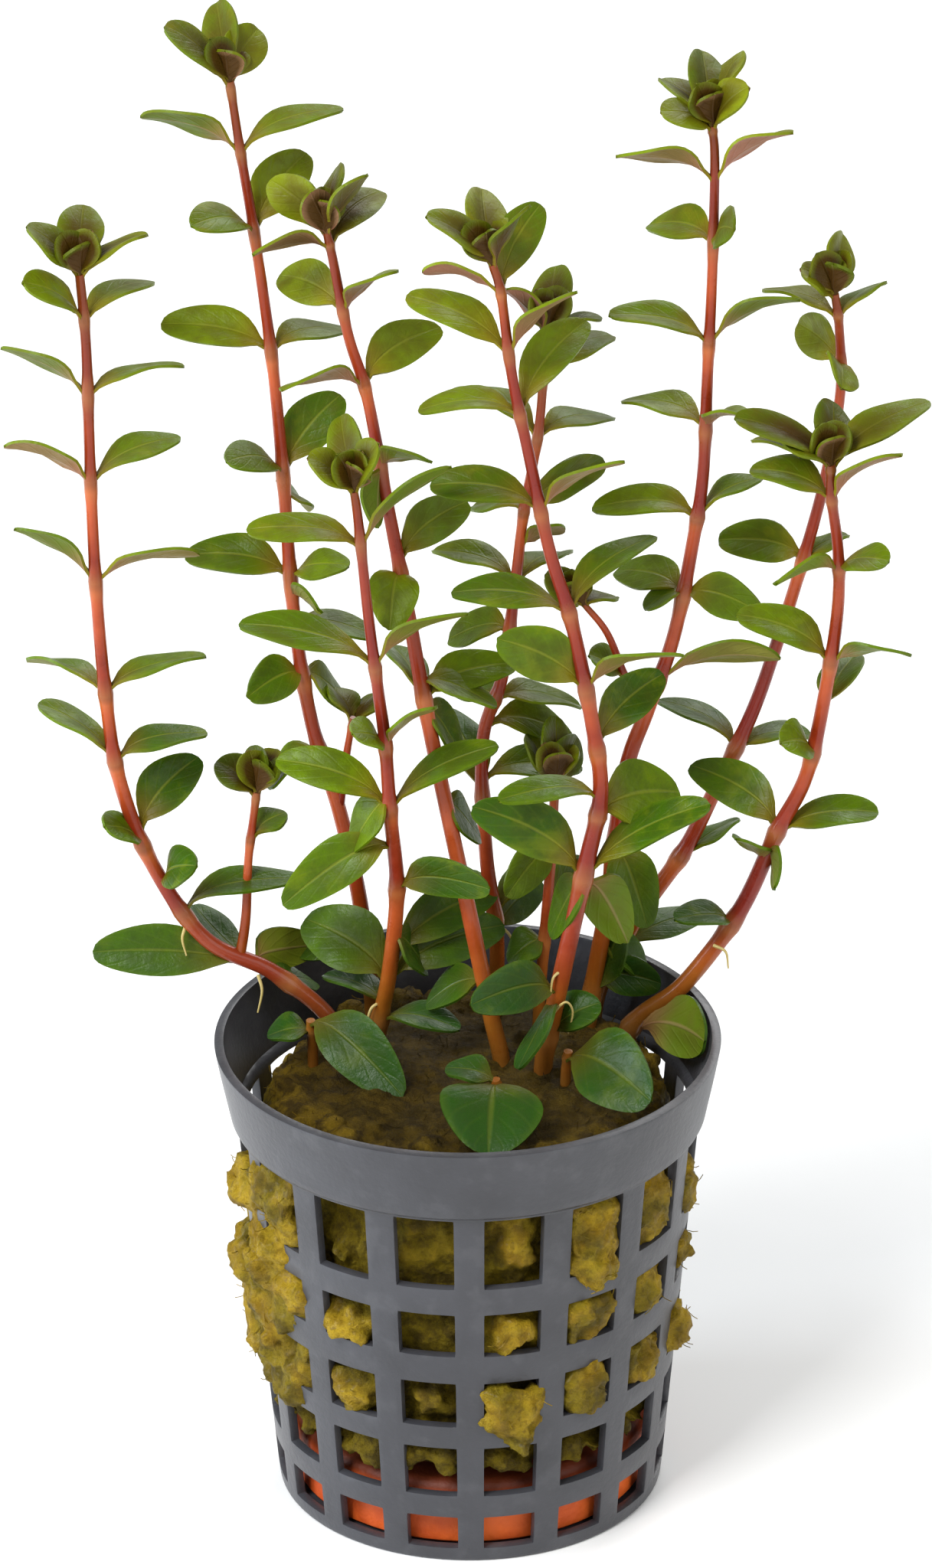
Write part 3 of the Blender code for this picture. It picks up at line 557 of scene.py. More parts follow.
# each shoot: the heights between which its stem is a deeper red, its depth and radius at foot and
# crown, the stem's route, and its leaves by height on the stem, tip x, tip z, seen width, which
# way it faces, and its own length and width where they aren't usual. The leaves under "also"
# grow where the stem has no swelling.
shoots = {
    "shoot_far_left": {
        "ruddy": ((48, 70), (125, 142)),
        "depth": (8, 0), "radius": (1, 0.5),
        "route": ((-14, 54), (-20.7, 61.3), (-28.2, 65.6), (-33.9, 75), (-37.1, 85), (-38.3, 95),
                  (-39, 107), (-39.3, 120), (-39.4, 135), (-39.9, 143.5)),
        "leaves": (
            (138, -45.6, 142.8, 2.5, near), (138, -32.4, 143.6, 2.5, back),
            (129.5, -48.3, 135.3, 1, near), (129.5, -29.2, 134, 1, back),
            (119.5, -48.3, 124, 1.5, near), (119.5, -29.8, 125.6, 2.5, back),
            (108, -47.5, 114.4, 1, near), (108, -28, 111.8, 1, near),
            (95, -46.5, 99.3, 1.2, back), (95, -27.5, 99.5, 1.8, back),
            (87, -45.4, 94.3, 2.5, back), (87, -27.5, 90.9, 2.5, near),
            (78.5, -28.5, 87.5, 5.5, back), (77, -38.8, 79.2, 2.5, near, 8),
            (72.5, -29.2, 74.5, 3.5, near, 8),
            (69, -17, 73.3, 2.5, back, 13.5), (62.5, -40.4, 64.1, 5.8, near, 16),
            (62.5, -29.4, 69.7, 3, back), (60, -16.5, 60.5, 3.5, back, 7),
            (143, -45.2, 149.1, 2.5, near, 8), (143, -32.7, 148.1, 1.2, back, 8.5),
            (143.4, -39.3, 151.4, 5, back, 9),
        ),
        "also": ((62.5, -15.8, 64.8, 4.8, back, 10.5),),
        "branch": {
            "depth": (7.2, 9), "radius": (0.6, 0.4),
            "route": ((-24.6, 62.9), (-23.8, 68.2), (-23.4, 75.3), (-22.4, 83.2)),
            "leaves": (
                (77.5, -19.3, 81, 2.5, side, 6), (82.5, -26.6, 87, 4, side, 6),
                (83, -20, 87.2, 2.2, side, 6), (83, -22.8, 88.8, 2.6, side, 7),
            ),
        },
    },
    "shoot_tall_left": {
        "ruddy": ((148, 166),),
        "depth": (14, 10), "radius": (1, 0.45),
        "route": ((-10.2, 56.5), (-11.5, 70), (-13.6, 81), (-16.4, 91.4), (-18.1, 104),
                  (-19.1, 121.5), (-20.1, 134.7), (-21.7, 148.5), (-22.9, 157), (-23.9, 165)),
        "leaves": (
            (157, -33.1, 161.8, 2, near), (157, -12.3, 162.8, 2, back),
            (148, -28, 149.2, 2.6, near), (148, -16, 157, 5.5, back),
            (134.5, -31.6, 137.9, 4.5, back), (134.5, -11.8, 137.5, 2.5, back),
            (120.5, -24.7, 122.4, 2.5, near), (120.5, -12.8, 129.7, 5.5, back),
            (108.5, -29.7, 111.6, 4.5, back), (108.5, -12.2, 109.8, 2.5, near, 7.5),
            (97, -23.2, 94.5, 5, near, 8), (97, -11.2, 92, 2.5, back),
            (88, -21.2, 83.6, 2.5, side, 8.5), (65, -18.5, 64, 4.5, side, 9),
            (164, -29.9, 171.7, 2.5, near), (164.5, -25.2, 173.8, 4, back, 11),
            (164.5, -20.5, 171, 4.5, back, 8),
        ),
        "also": (
            (118, -16.6, 117.2, 2.2, back, 6), (106.5, -15.2, 105, 1.6, near, 4.5),
            (103, -9.4, 101.6, 2.6, back, 8),
        ),
        "branch": {
            "depth": (13, 12), "radius": (0.55, 0.35),
            "route": ((-13.6, 81), (-12.9, 86.5), (-12, 92)),
            "leaves": ((91, -9.6, 95, 2.4, back, 5), (91.5, -14.2, 96, 2.4, back, 5)),
        },
    },
    "shoot_middle_left": {
        "ruddy": ((114, 124), (134, 150)),
        "depth": (2, 6), "radius": (1.05, 0.45),
        "route": ((3.8, 49), (2.4, 56.8), (-0.8, 74.2), (-3.9, 91), (-6.1, 105), (-8.2, 117.7),
                  (-10.1, 129.4), (-12, 136.4), (-13.5, 145), (-14.1, 148)),
        "leaves": (
            (146.2, -22, 145.8, 1.2, near, 8.5), (146.2, -8.3, 153, 4.5, back, 11),
            (139, -19.6, 143.5, 5, back), (139, -7, 144, 1.2, near, 8.5),
            (130.5, -2.4, 137.2, 5, back, 11.5), (130.5, -19.2, 130.5, 1.2, near),
            (121.3, -3.6, 122.2, 2, near, 7), (110, 0.6, 117.2, 4.8, 0.4, 11.5),
            (108.5, -8, 102.4, 5.5, -0.4), (94, 5.5, 98.5, 4.5, back, 11),
            (94, -7.8, 100.5, 3, back),
            (147.5, -20.1, 153.8, 4.5, side), (147.8, -13, 155.7, 2, back, 9),
            (147.8, -9.9, 154.5, 1.5, near, 8),
        ),
        "also": (
            (93, -0.2, 87.2, 3, back, 9), (81.6, 1.8, 77.4, 2.7, back, 7.5),
            (96, 3.4, 93.2, 2.4, back, 8.5),
            (121.3, -9.8, 114.2, 2, near, 6), (60, -4.8, 57.6, 3.8, back, 8),
        ),
    },
    "shoot_front_left": {
        "ruddy": ((84, 118),),
        "depth": (7, -7), "radius": (1, 0.45),
        "route": ((-9.8, 52.9), (-8.4, 61.5), (-7.5, 71.4), (-8.1, 80.2), (-8.6, 89),
                  (-9.3, 95.3), (-10.3, 104.6), (-11.2, 115.2), (-11.6, 118.5)),
        "leaves": (
            (112, -23, 114, 3.3, near, 12), (112, -1.3, 121.2, 1.2, near, 13.5),
            (98, -24, 103, 3.5, near, 15), (98, 0.2, 105, 1.2, near, 12.5),
            (88.5, -3.4, 93.4, 1.2, near, 8.5), (88.5, -12, 90.2, 2.4, near, 6),
            (81, -20.4, 87.5, 4.5, side, 14.5), (81, 3.5, 88.5, 3, near, 14),
            (71.5, 2.2, 71.2, 4.5, near, 12.5), (60, -17.5, 68, 7.5, 0.3, 14),
            (76.5, -20, 69.5, 5.5, side, 14), (57.4, -15.5, 61.5, 2.6, back, 8),
            (60.4, 4.3, 67.2, 5.8, 0.5, 15), (55.5, -0.8, 54.5, 2.5, near, 9.5),
            (118, -16.1, 122.9, 2.6, near, 7), (118.2, -13.4, 127.5, 4, back, 9.5),
            (118, -9, 124, 2.5, near, 7),
        ),
        "also": (
            (82.1, -12.6, 76.2, 3.4, back, 8), (66, -4.2, 61.4, 2.6, back, 7),
            (63, 3.4, 71.6, 5.4, back, 15),
        ),
    },
    "shoot_middle": {
        "ruddy": ((62, 84), (95, 138)),
        "depth": (0, -4), "radius": (1.1, 0.45),
        "route": ((8.2, 50), (10.3, 61.4), (13, 75), (14.4, 83), (13.4, 91.8), (11.3, 103.1),
                  (9, 111.4), (6.9, 122.2), (5.1, 131.6), (4, 140.9), (3.1, 144.3)),
        "leaves": (
            (141, -4.2, 144.2, 1.2, near, 8.5), (141, 8.5, 151.2, 4.5, back, 11.5),
            (134, -5.9, 141, 4, back, 12.5), (134, 11.8, 141.3, 1.2, near, 10.5),
            (127, -5, 128.4, 2.5, near, 11), (127, 12.9, 137.9, 4.8, back, 13.5),
            (116, -3.7, 119.5, 4, -0.2, 12.5), (116, 16.8, 122.1, 1.2, near, 11),
            (104, -1.4, 106.4, 3.3, 0.3, 13), (104, 20.1, 113.7, 3, back, 13.5),
            (95, 3.7, 101, 6, near, 12), (95, 23.2, 100, 1.2, near, 12),
            (88, 21.3, 97, 4.8, back, 12.5), (82, 3.4, 82.2, 2.6, near, 11.5),
            (80, 23.3, 83, 7.5, back, 11.5), (72.5, 0.7, 81.3, 6, near, 15),
            (72.5, 26.2, 81.3, 4, near, 17), (58.5, 0.6, 57.4, 5.6, near, 12.5),
            (53.5, 14.2, 57.8, 4, near, 7),
            (144, -3.5, 150.2, 2.4, near, 9.5), (144.2, 2.4, 153.5, 4.2, back, 10.5),
            (144, 6.7, 151, 1.4, near, 8.5),
        ),
        "also": (
            (72.2, 17.2, 65, 5.5, back, 10.5), (72.4, 8.4, 65.6, 3.6, back, 9),
            (57.5, 5.5, 49.4, 1.8, near, 9),
        ),
    },
    "shoot_behind_middle": {
        "depth": (14, 8), "radius": (0.95, 0.45),
        "route": ((3, 56), (3.2, 65.8), (2.1, 75.8), (1.8, 89), (4, 97), (5.4, 107.9),
                  (6.3, 116), (7.9, 125.5), (8.7, 136.7)),
        "leaves": (
            (131.5, 15.7, 136.8, 3.5, back), (124.5, 15.8, 127.4, 2.5, back),
            (124.5, -0.9, 131.2, 2.5, back, 11.5), (116, 15.3, 121.3, 4, back, 11),
            (116, 0.8, 116.5, 2.5, back, 9), (107.5, -3.4, 112.2, 2.5, back),
            (107.5, 10.9, 112, 2.5, back), (102, -2.1, 101.4, 4, back, 8.5),
            (94, -0.5, 95, 3, back, 6), (94, 12.2, 93, 2.5, back),
            (82, -2.1, 93.5, 4.2, back, 13), (68, 11, 77, 3, back, 12.5),
            (136.3, 9.8, 144, 4.2, back, 9), (136, 4.7, 141.7, 2.2, near, 7),
            (136, 14.5, 138.4, 1.2, back, 6.5),
        ),
        "also": (
            (91, 12.2, 89.7, 4.1, back, 11.5), (84.5, 12.4, 85.7, 3.2, back, 11),
            (112, 10.6, 114.5, 1.6, near, 5),
            (70, -4.4, 72.8, 3.4, back, 8.5), (66, 8.2, 72.2, 4.4, back, 9.5),
        ),
    },
    "shoot_short": {
        "depth": (9, 8), "radius": (0.7, 0.5),
        "route": ((7.6, 54), (8.4, 66), (9.2, 77), (9.5, 84)),
        "leaves": (
            (76, 4.2, 70.5, 4.2, side, 8), (69, 13.2, 74.5, 4, back, 8),
            (65, 4.4, 62.5, 3.6, side, 6), (83, 6.6, 90, 3, back, 7), (83, 12.3, 89.5, 3, back, 7),
            (83.5, 9.6, 92, 3.5, back, 8),
        ),
    },
    "shoot_tall_right": {
        "ruddy": ((110, 124), (142, 160)),
        "depth": (12, 6), "radius": (1.05, 0.45),
        "route": ((13, 55), (15.2, 70), (17, 85), (19.5, 93), (22.2, 101.5), (24.2, 112.7),
                  (25.2, 120.6), (25.6, 132.3), (26, 142.9), (26.2, 155.5), (25.9, 159.7)),
        "leaves": (
            (153.5, 15.9, 156.6, 1.2, near, 11), (153.5, 34.1, 159.6, 1.2, near),
            (146.5, 19.1, 149.3, 4, back, 9), (146.5, 27.9, 148.2, 2.6, near, 8),
            (135, 15.2, 138.6, 2.5, near, 11.5), (135, 35, 141, 1.2, -0.5, 11.5),
            (125.5, 16.6, 129.2, 2.5, back), (125.5, 29.3, 127.4, 1.2, near, 7),
            (115, 13.3, 116.7, 3.5, back, 11.8), (115, 31.4, 120, 1.6, side),
            (106, 15.9, 109.3, 4.2, back), (106, 31.5, 103.5, 4.6, -0.3),
            (96, 33.6, 99.9, 2.2, near, 14),
            (76, 19.5, 66.5, 5.5, side, 10.5), (58, 16.8, 66.3, 4.2, near, 9.5),
            (159, 24.8, 168, 4, back, 10.5), (159.2, 28.6, 168, 2.4, back),
            (159, 20.8, 165.6, 2.4, back, 9), (159, 20.7, 161.6, 2.4, near, 7),
            (159, 29.3, 164.2, 2.6, near, 7),
        ),
        "also": (
            (64.4, 19.4, 61, 4, back, 8), (106.2, 18.9, 104.6, 2, side, 6),
            (60, 21, 59.4, 4.6, side, 9.5),
        ),
        "branch": {
            "depth": (9.9, 7), "radius": (0.5, 0.35),
            "route": ((19, 91.5), (17.5, 95), (15.2, 101.5), (12.6, 105.2)),
            "leaves": (
                (96.5, 13.2, 99.4, 2.4, near, 5), (105, 16, 106, 1.6, back, 4),
                (105, 11, 108, 1.8, back, 4),
            ),
        },
    },
    "shoot_back_right": {
        "ruddy": ((82, 97),),
        "depth": (17, 10), "radius": (1.05, 0.45),
        "route": ((13.8, 57.5), (17.8, 67), (23.1, 75.4), (26.3, 82.3), (30.4, 91.9),
                  (32.9, 99.7), (35.7, 109.8), (38, 119.5), (39.5, 129.4), (39.3, 136.8),
                  (38.8, 140.7)),
        "leaves": (
            (138, 31.2, 141.3, 1.4, 0.4, 9), (138, 44, 142, 1.2, back, 7),
            (132.5, 34.8, 137.4, 4.2, back, 8.5), (132.5, 40, 130.2, 2.6, near, 6),
            (110, 26.8, 112.6, 4.6, back), (110, 40.5, 113.5, 2, back, 6),
            (88, 20.5, 94.2, 2.3, back, 11), (88, 37, 90, 2.4, back, 9),
            (75, 29.2, 80, 1.6, back, 8), (64, 26, 68.5, 3.5, back, 11.5),
            (140.4, 39.8, 147.5, 2.6, back, 8), (140, 35.3, 143.8, 2.4, near, 5.5),
        ),
    },
    "basal_front": {
        "depth": (-9, -9.5), "radius": (0.7, 0.5),
        "route": ((3.4, 44.6), (3, 48.2)),
        "leaves": ((47.4, 2.2, 39.4, 9, near, 11, 11.2), (47.8, -2.5, 50, 3, near, 5.5)),
    },
    "basal_right": {
        "depth": (-3, -3.5), "radius": (0.7, 0.5),
        "route": ((10.6, 47.6), (10.9, 51.6)),
        "leaves": ((50.6, 19.8, 45.4, 8.4, near, 13.5),),
    },
    "basal_left": {
        "depth": (3, 2.5), "radius": (0.7, 0.5),
        "route": ((-16.8, 51), (-17, 55.6)),
        "leaves": ((55.2, -7.2, 46.2, 6.6, near, 14), (54, -21.8, 53.8, 2.8, side, 5.5)),
    },
    "shoot_front_right": {
        "ruddy": ((60, 74), (112, 122)),
        "depth": (9.8, -1), "radius": (1.1, 0.5),
        "route": ((17.4, 53.8), (23.4, 59.7), (29.4, 68.6), (33.3, 78), (36.4, 84.8),
                  (38.3, 94.5), (39.5, 104.1), (39.5, 111), (38.7, 117.5), (38.6, 121.2)),
        "leaves": (
            (117, 45.8, 123, 1.2, near), (117, 30, 121.2, 3.4, side),
            (109, 32.8, 107.4, 1.2, near, 8), (109, 44.8, 110.3, 2.5, near, 7),
            (98, 29, 104.3, 4, near, 12), (98, 47.5, 99.8, 1.2, near, 9.5),
            (92.5, 41.5, 99, 3.8, back, 9.5), (87.5, 34, 89, 3, near, 7),
            (78, 23.6, 86.4, 5.2, back, 13.5), (78, 44.2, 80.6, 3.5, near, 11.5),
            (67, 22.4, 68, 2.4, near, 7.5),
            (54.4, 26.4, 52.6, 5.4, near, 12.5, 6.8),
            (120.6, 28.5, 127, 2.8, near, 12), (120.6, 48.9, 128.6, 3.4, back, 13),
            (121, 39.2, 129, 4.2, back, 9), (120.6, 33.2, 124.8, 2.4, near, 7),
        ),
        "also": (
            (120.8, 30.2, 124.6, 2.2, back, 9.5), (74.5, 29, 77.6, 1.6, near, 5),
            (76, 33.4, 71.2, 1.4, near, 5),
        ),
    },
}


def onSightLine(x, z, depth):
    seen = Vector((x, 0.0, z))
    return eye + (seen - eye) * (depth - eye.y) / -eye.y


def stemPoints(shoot):
    route = shoot["route"]
    nearDepth, farDepth = shoot["depth"]
    foot, crown = route[0][1], route[-1][1]
    return [onSightLine(x, z, nearDepth + (farDepth - nearDepth) * (z - foot) / (crown - foot))
            for x, z in route]


def onStem(shoot, points, seenHeight):
    route = shoot["route"]
    last = len(route) - 2
    index = next((i for i in range(last) if route[i + 1][1] > seenHeight), last)
    low, high = route[index][1], route[index + 1][1]
    share = (seenHeight - low) / (high - low)
    start, end = points[index], points[index + 1]
    return start.lerp(end, share), (end - start).normalized(), index + share


def smoothLine(points, steps):
    # an even curve through all the points
    line = []
    padded = [2 * points[0] - points[1], *points, 2 * points[-1] - points[-2]]
    for i in range(1, len(padded) - 2):
        a, b, c, d = padded[i - 1:i + 3]
        for step in range(steps):
            t = step / steps
            line.append(0.5 * (2 * b + (c - a) * t + (2 * a - 5 * b + 4 * c - d) * t**2
                               + (3 * b - a - 3 * c + d) * t**3))
    return line + [points[-1].copy()]


def tubeAlong(name, line, thickness, radii):
    # a round tube along the line, with its own radius at each point
    curve = bpy.data.curves.new(name, "CURVE")
    curve.dimensions = "3D"
    curve.bevel_depth = thickness * mm
    curve.bevel_resolution = 4
    curve.use_fill_caps = True
    spline = curve.splines.new("POLY")
    spline.points.add(len(line) - 1)
    for point, place, radius in zip(spline.points, line, radii):
        point.co = (*(place * mm), 1)
        point.radius = radius
    pick(addThing(name, curve))
    bpy.ops.object.convert(target="MESH")
    return bpy.context.object


def leafTip(base, tipX, tipZ, length, facing):
    ray = (Vector((tipX, 0.0, tipZ)) - eye).normalized()
    nearest = eye + ray * (base - eye).dot(ray)
    reach = math.sqrt(max(0.0, length**2 - (base - nearest).length_squared))
    return nearest + ray * reach * facing, ray


def leafAcross(midrib, ray, stem, seenWidth, facing):
    width = max(leafShape["width"], seenWidth)
    flat = midrib.cross(ray).normalized()
    deep = flat.cross(midrib)
    lean = math.acos(min(1.0, seenWidth / width))
    shown = 1.0 if facing >= 0 or seenWidth >= leafShape["showsTop"] else -1.0
    best = None
    for sign in (1.0, -1.0):
        across = flat * math.cos(lean) + deep * math.sin(lean) * sign
        if across.cross(midrib).dot(stem) < 0:
            across = -across
        upper = across.cross(midrib)
        score = -upper.dot(ray) * shown
        if best is None or score > best[0]:
            best = (score, across)
    return best[1], width


def outlineShare(along):
    # a narrow stalk that opens into a spoon-shaped blade with a blunt round tip
    stalk = 0.13 + 0.12 * along
    blade = max(0.0, (along - 0.1) / 0.9)
    swell = max(0.0, math.sin(math.pi * blade**1.3)) ** (0.9 - 0.46 * blade)
    return max(stalk * (1 - along) ** 0.3, swell)


def makeLeafPattern():
    # one flat leaf, a unit long, with its midrib along y: every other leaf is bent from it
    deselectAll()
    columns, rows = leafShape["cells"]
    bpy.ops.mesh.primitive_grid_add(x_subdivisions=columns, y_subdivisions=rows, size=1,
                                    location=(0, 0, 0))
    pattern = bpy.context.object
    bpy.ops.object.mode_set(mode="EDIT")
    bpy.ops.mesh.select_all(action="SELECT")
    bpy.ops.transform.translate(value=(0, 0.5, 0))
    bpy.ops.object.mode_set(mode="OBJECT")
    for vertex in pattern.data.vertices:
        along = 1 - (1 - vertex.co.y) ** 1.6
        reach = outlineShare(along)
        edge = vertex.co.x * 2
        vertex.co = (vertex.co.x * reach, along, (abs(edge) ** 1.3 * 0.10 - edge**4 * 0.05) * reach)
    for name in ("freshness", "luck", "bronze"):
        pattern.data.attributes.new(name, "FLOAT", "POINT")
    return pattern


def bendLeaf(pattern, base, stem, leaf, looks, chance):
    _, tipX, tipZ, seenWidth, facing, *rest = leaf
    length = rest[0] if rest else leafShape["length"]
    tip, ray = leafTip(base, tipX, tipZ, length, facing)
    chord = tip - base
    across, width = leafAcross(chord.normalized(), ray, stem, seenWidth, facing)
    if len(rest) > 1:
        width = rest[1]
    elbow = base + stem * leafShape["hug"] * length + chord * 0.2
    clasp = stem.cross(chord).normalized()
    if clasp.dot(across) < 0:
        clasp = -clasp
    ripple, phase = chance.uniform(*leafShape["ripple"]), chance.uniform(0, 6.28)
    cup = chance.uniform(*leafShape["cup"])
    droop = chance.uniform(*leafShape["droop"]) * length
    mesh = pattern.data.copy()
    for vertex in mesh.vertices:
        x, along, lift = vertex.co
        spine = base.lerp(elbow, along).lerp(elbow.lerp(tip, along), along)
        ahead = (elbow - base).lerp(tip - elbow, along).normalized()
        level = clasp.lerp(across, min(1.0, along / leafShape["twist"])).normalized()
        upper = level.cross(ahead).normalized()
        wave = ripple * math.sin(7 * along + phase + (2 if x > 0 else 0)) * abs(x) * 1.4
        sag = droop * along**3
        vertex.co = (spine + level * x * width + upper * (lift * width * cup + wave - sag)) * mm
    for name, value in looks.items():
        mesh.attributes[name].data.foreach_set("value", [value] * len(mesh.vertices))
    return addThing("leaf", mesh)


def crownLeaves(crown, stem, chance):
    # two pairs of small round leaves still closed over the growing tip
    made = []
    for i in range(4):
        angle = 0.5 + math.pi * i + (math.pi / 2 if i > 1 else 0) + chance.uniform(-0.3, 0.3)
        spread, height = bud["outer"] if i < 2 else bud["inner"]
        out = Vector((math.cos(angle), math.sin(angle), 0)) * spread
        made.append((crown - stem * bud["sunk"], crown + out + stem * height))
    return made


def growLeaves(pattern, shoot, points, chance):
    crown, start = shoot["route"][-1][1], leafShape["freshFrom"]
    grown = []
    for leaf in (*shoot["leaves"], *shoot.get("also", ())):
        base, stem, _ = onStem(shoot, points, leaf[0])
        fresh = max(0.0, min(1.0, (leaf[0] - start) / max(30.0, crown - start)))
        fresh = fresh ** 1.2 * (0.55 + 0.45 * min(1.0, (leaf[0] - 50) / 90))
        bronze = chance.uniform(0.7, 1.2) if leaf[0] > max(80, crown - 2) else chance.uniform(0, 0.25)
        # leaves below 60 mm keep to the low, darker end of their tone range: painted shade low in the
        # plant
        luck = chance.random() * (0.3 if leaf[0] < 60 else 1.0)
        looks = {"freshness": fresh, "luck": luck, "bronze": bronze}
        grown.append(bendLeaf(pattern, base, stem, leaf, looks, chance))
    if len(shoot["leaves"]) < 3:
        return grown  # a twig too small for a crown
    stem = (points[-1] - points[-2]).normalized()
    for base, tip in crownLeaves(points[-1], stem, chance):
        looks = {"freshness": 0.8, "luck": chance.random(), "bronze": chance.uniform(1.6, 2.2)}
        seenTip = eye + (tip - eye) * -eye.y / (tip.y - eye.y)
        facing, width = back if tip.y > base.y else near, bud["width"]
        small = (0, seenTip.x, seenTip.z, width, facing, (tip - base).length, width)
        grown.append(bendLeaf(pattern, base, stem, small, looks, chance))
    return grown


def makeStem(name, shoot, footDrop):
    points = stemPoints(shoot)
    if footDrop:
        points = [points[0] - Vector((0, 0, footDrop)), *points]
    steps = stemShape["steps"]
    line = smoothLine(points, steps)
    offset = 1 if footDrop else 0
    joints = sorted({leaf[0] for leaf in shoot["leaves"] if leaf[0] < shoot["route"][-1][1] - 0.5})
    spots = []
    for joint in joints:
        spot = (onStem(shoot, points[offset:], joint)[2] + offset) * steps
        if not spots or spot - spots[-1] > stemShape["jointGap"]:
            spots.append(spot)
    low, high = shoot["radius"]
    radii, travel, nodes, ruddy = [], [], [], []
    for i, place in enumerate(line):
        share = i / (len(line) - 1)
        below = max([s for s in spots if s <= i], default=0)
        above = min([s for s in spots if s > i], default=len(line))
        travel.append((i - below) / max(1, above - below))
        closest = min([abs(i - s) for s in spots], default=99)
        swelling = math.exp(-((closest / stemShape["swellingLength"]) ** 2))
        nodes.append(swelling)
        inside = [min(place.z - start, end - place.z) / 6 + 0.5 for start, end in shoot.get("ruddy", ())]
        ruddy.append(max(0.0, min(1.0, max(inside, default=0.0))))
        radii.append((low + (high - low) * share) * (1 + stemShape["swelling"] * swelling))
    thing = tubeAlong(name, line, 1.0, radii)
    closeUp(thing)
    tree = KDTree(len(line))
    for i, place in enumerate(line):
        tree.insert(place * mm, i)
    tree.balance()
    where = [tree.find(vertex.co)[1] for vertex in thing.data.vertices]
    climb = [i / (len(line) - 1) for i in range(len(line))]
    marks = {"internode": travel, "node": nodes, "climb": climb, "ruddy": ruddy}
    for attribute, values in marks.items():
        layer = thing.data.attributes.new(attribute, "FLOAT", "POINT")
        layer.data.foreach_set("value", [values[i] for i in where])
    return thing


# thin roots that hang from the stems, by x and z as seen and by depth
rootRadius = 0.2
roots = {
    "shoot_far_left": (
        ((-22.6, 61.2, 6.0), (-22.2, 59.2, 5.4), (-22.7, 56.6, 5.2)),
        ((-30.3, 67.2, 6.8), (-30.7, 65.6, 6.2), (-30.3, 63.6, 6.2)),
    ),
    "shoot_front_left": (
        ((-9.2, 57.8, 6.0), (-10.4, 57.0, 5.4), (-10.9, 54.8, 5.4), (-10.6, 52.6, 5.6)),
    ),
    "shoot_middle": (
        ((8.8, 53.6, 0.2), (9.2, 56.0, -1.4), (10.6, 57.6, -1.8), (11.4, 56.4, -1.6),
         (10.9, 53.8, -1.2)),
        ((10.4, 61.6, -0.8), (9.3, 60.6, -1.6), (9.0, 58.6, -1.8)),
    ),
    "shoot_behind_middle": (((3.4, 67.0, 12.5), (4.7, 65.6, 11.8), (5.3, 62.4, 11.6)),),
    "shoot_front_right": (((26.6, 64.4, 5.4), (27.9, 63.6, 4.6), (28.2, 61.6, 4.4)),),
}


def makeRoots(node, skin):
    strands = []
    for path in roots[node]:
        line = smoothLine([onSightLine(*place) for place in path], 6)
        taper = [1.0 - 0.6 * i / len(line) for i in range(len(line))]
        strands.append(tubeAlong(node + "Root", line, rootRadius, taper))
    bundle = joinAll(strands)
    closeUp(bundle)
    bundle.data.materials.append(skin)
    finishPiece(bundle, node + "_roots", node, 60)


def joinAll(things):
    deselectAll()
    for thing in things:
        thing.select_set(True)
    bpy.context.view_layer.objects.active = things[0]
    if len(things) > 1:
        bpy.ops.object.join()
    return bpy.context.object


def makeShoots():
    pattern = makeLeafPattern()
    top, under, bark = leafSkin("leafUpper", True), leafSkin("leafUnder", False), stemSkin()
    pattern.data.materials.append(top)
    pattern.data.materials.append(under)
    for number, (node, shoot) in enumerate(shoots.items()):
        chance = random.Random(100 + number)
        stems = [makeStem(node, shoot, stemShape["planted"])]
        leaves = growLeaves(pattern, shoot, stemPoints(shoot), chance)
        if "branch" in shoot:
            stems.append(makeStem(node + "Branch", shoot["branch"], 0))
            leaves += growLeaves(pattern, shoot["branch"], stemPoints(shoot["branch"]), chance)
        stem = joinAll(stems)
        stem.data.materials.append(bark)
        finishPiece(stem, node + "_stem", node)
        foliage = joinAll(leaves)
        applyModifier(foliage, "SOLIDIFY", thickness=leafShape["thickness"] * mm, offset=-1.0,
                      material_offset=1)
        finishPiece(foliage, node + "_leaves", node, 60)
    bpy.data.objects.remove(pattern)
    skin = rootSkin()
    for node in roots:
        makeRoots(node, skin)


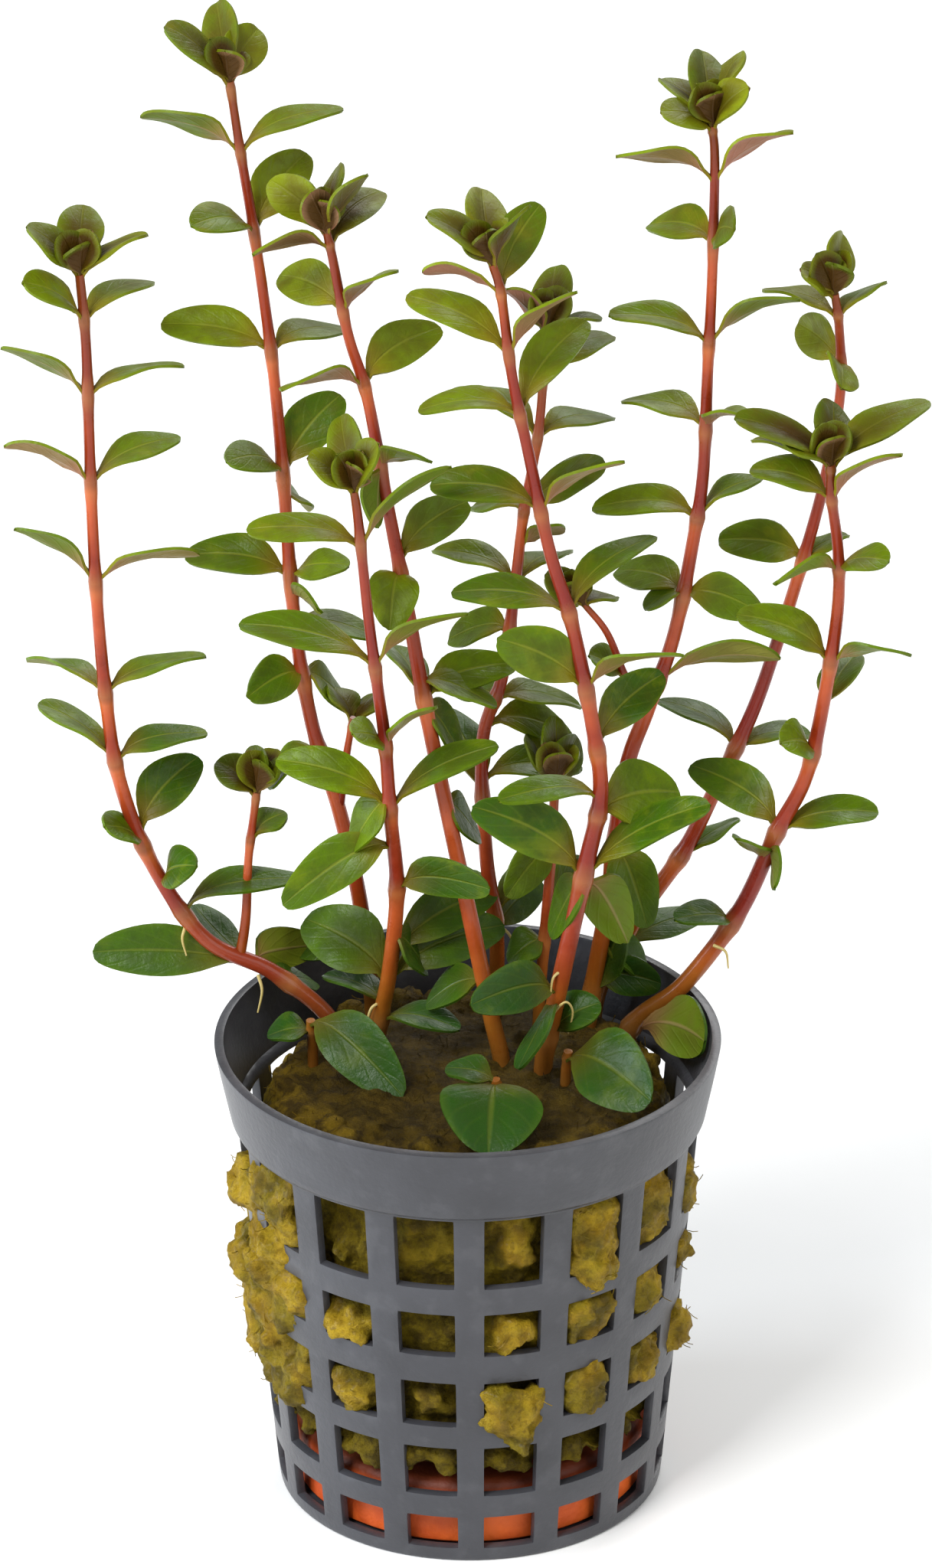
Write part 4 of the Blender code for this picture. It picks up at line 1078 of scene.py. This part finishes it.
# the floor's width in metres, the room's brightness, and each lamp's place, size, watts and tint
stage = {
    "floor": 3.0,
    "room": 0.46,
    "aim": Vector((0, 0, 0.08)),
    "lamps": {
        "keyLight": ((-0.45, -0.55, 0.85), 0.4, 11.0, (1.0, 1.0, 1.0)),
        "fillLight": ((0.7, -0.6, 0.5), 0.8, 4.0, (1.0, 1.0, 1.0)),
        "rimLight": ((0.25, 0.8, 0.7), 0.6, 5.0, (1.0, 1.0, 1.0)),
        "sideLight": ((-0.9, -0.15, 0.25), 0.4, 7.0, (0.78, 0.88, 1.0)),
    },
}


def makeStage():
    deselectAll()
    bpy.ops.mesh.primitive_plane_add(size=stage["floor"], location=(0, 0, 0))
    floor = bpy.context.object
    floor.name = "floor"
    paint = Paint("paleFloor", Base_Color=(0.86, 0.86, 0.85, 1), Roughness=0.7)
    floor.data.materials.append(paint.material)
    world = bpy.data.worlds.new("paleRoom")
    bpy.context.scene.world = world
    world.use_nodes = True
    world.node_tree.nodes["Background"].inputs[0].default_value = (1, 1, 1, 1)
    world.node_tree.nodes["Background"].inputs[1].default_value = stage["room"]
    for name, (place, size, power, tint) in stage["lamps"].items():
        lamp = bpy.data.lights.new(name, "AREA")
        lamp.size = size
        lamp.energy = power
        lamp.color = tint
        thing = addThing(name, lamp)
        thing.location = place
        thing.rotation_euler = (stage["aim"] - thing.location).to_track_quat("-Z", "Y").to_euler()


def makeCamera():
    lens = bpy.data.cameras.new("camera")
    lens.lens = camera["lens"]
    lens.sensor_width = 36
    lens.clip_end = 10
    thing = addThing("camera", lens)
    lift, roll = math.radians(camera["elevation"]), math.radians(camera["roll"])
    backward = Vector((0, -math.cos(lift), math.sin(lift)))
    level, upward = Vector((1, 0, 0)), Vector((0, math.sin(lift), math.cos(lift)))
    right = level * math.cos(roll) + upward * math.sin(roll)
    above = upward * math.cos(roll) - level * math.sin(roll)
    turn = Matrix((right, above, backward)).transposed().to_4x4()
    place = (camera["target"] + backward * camera["distance"]) * mm
    thing.matrix_world = Matrix.Translation(place) @ turn
    bpy.context.scene.camera = thing


makeCamera()
makeStage()
makePot()
makeClay()
makeWool()
makeShoots()
bpy.context.scene.view_settings.view_transform = "Standard"
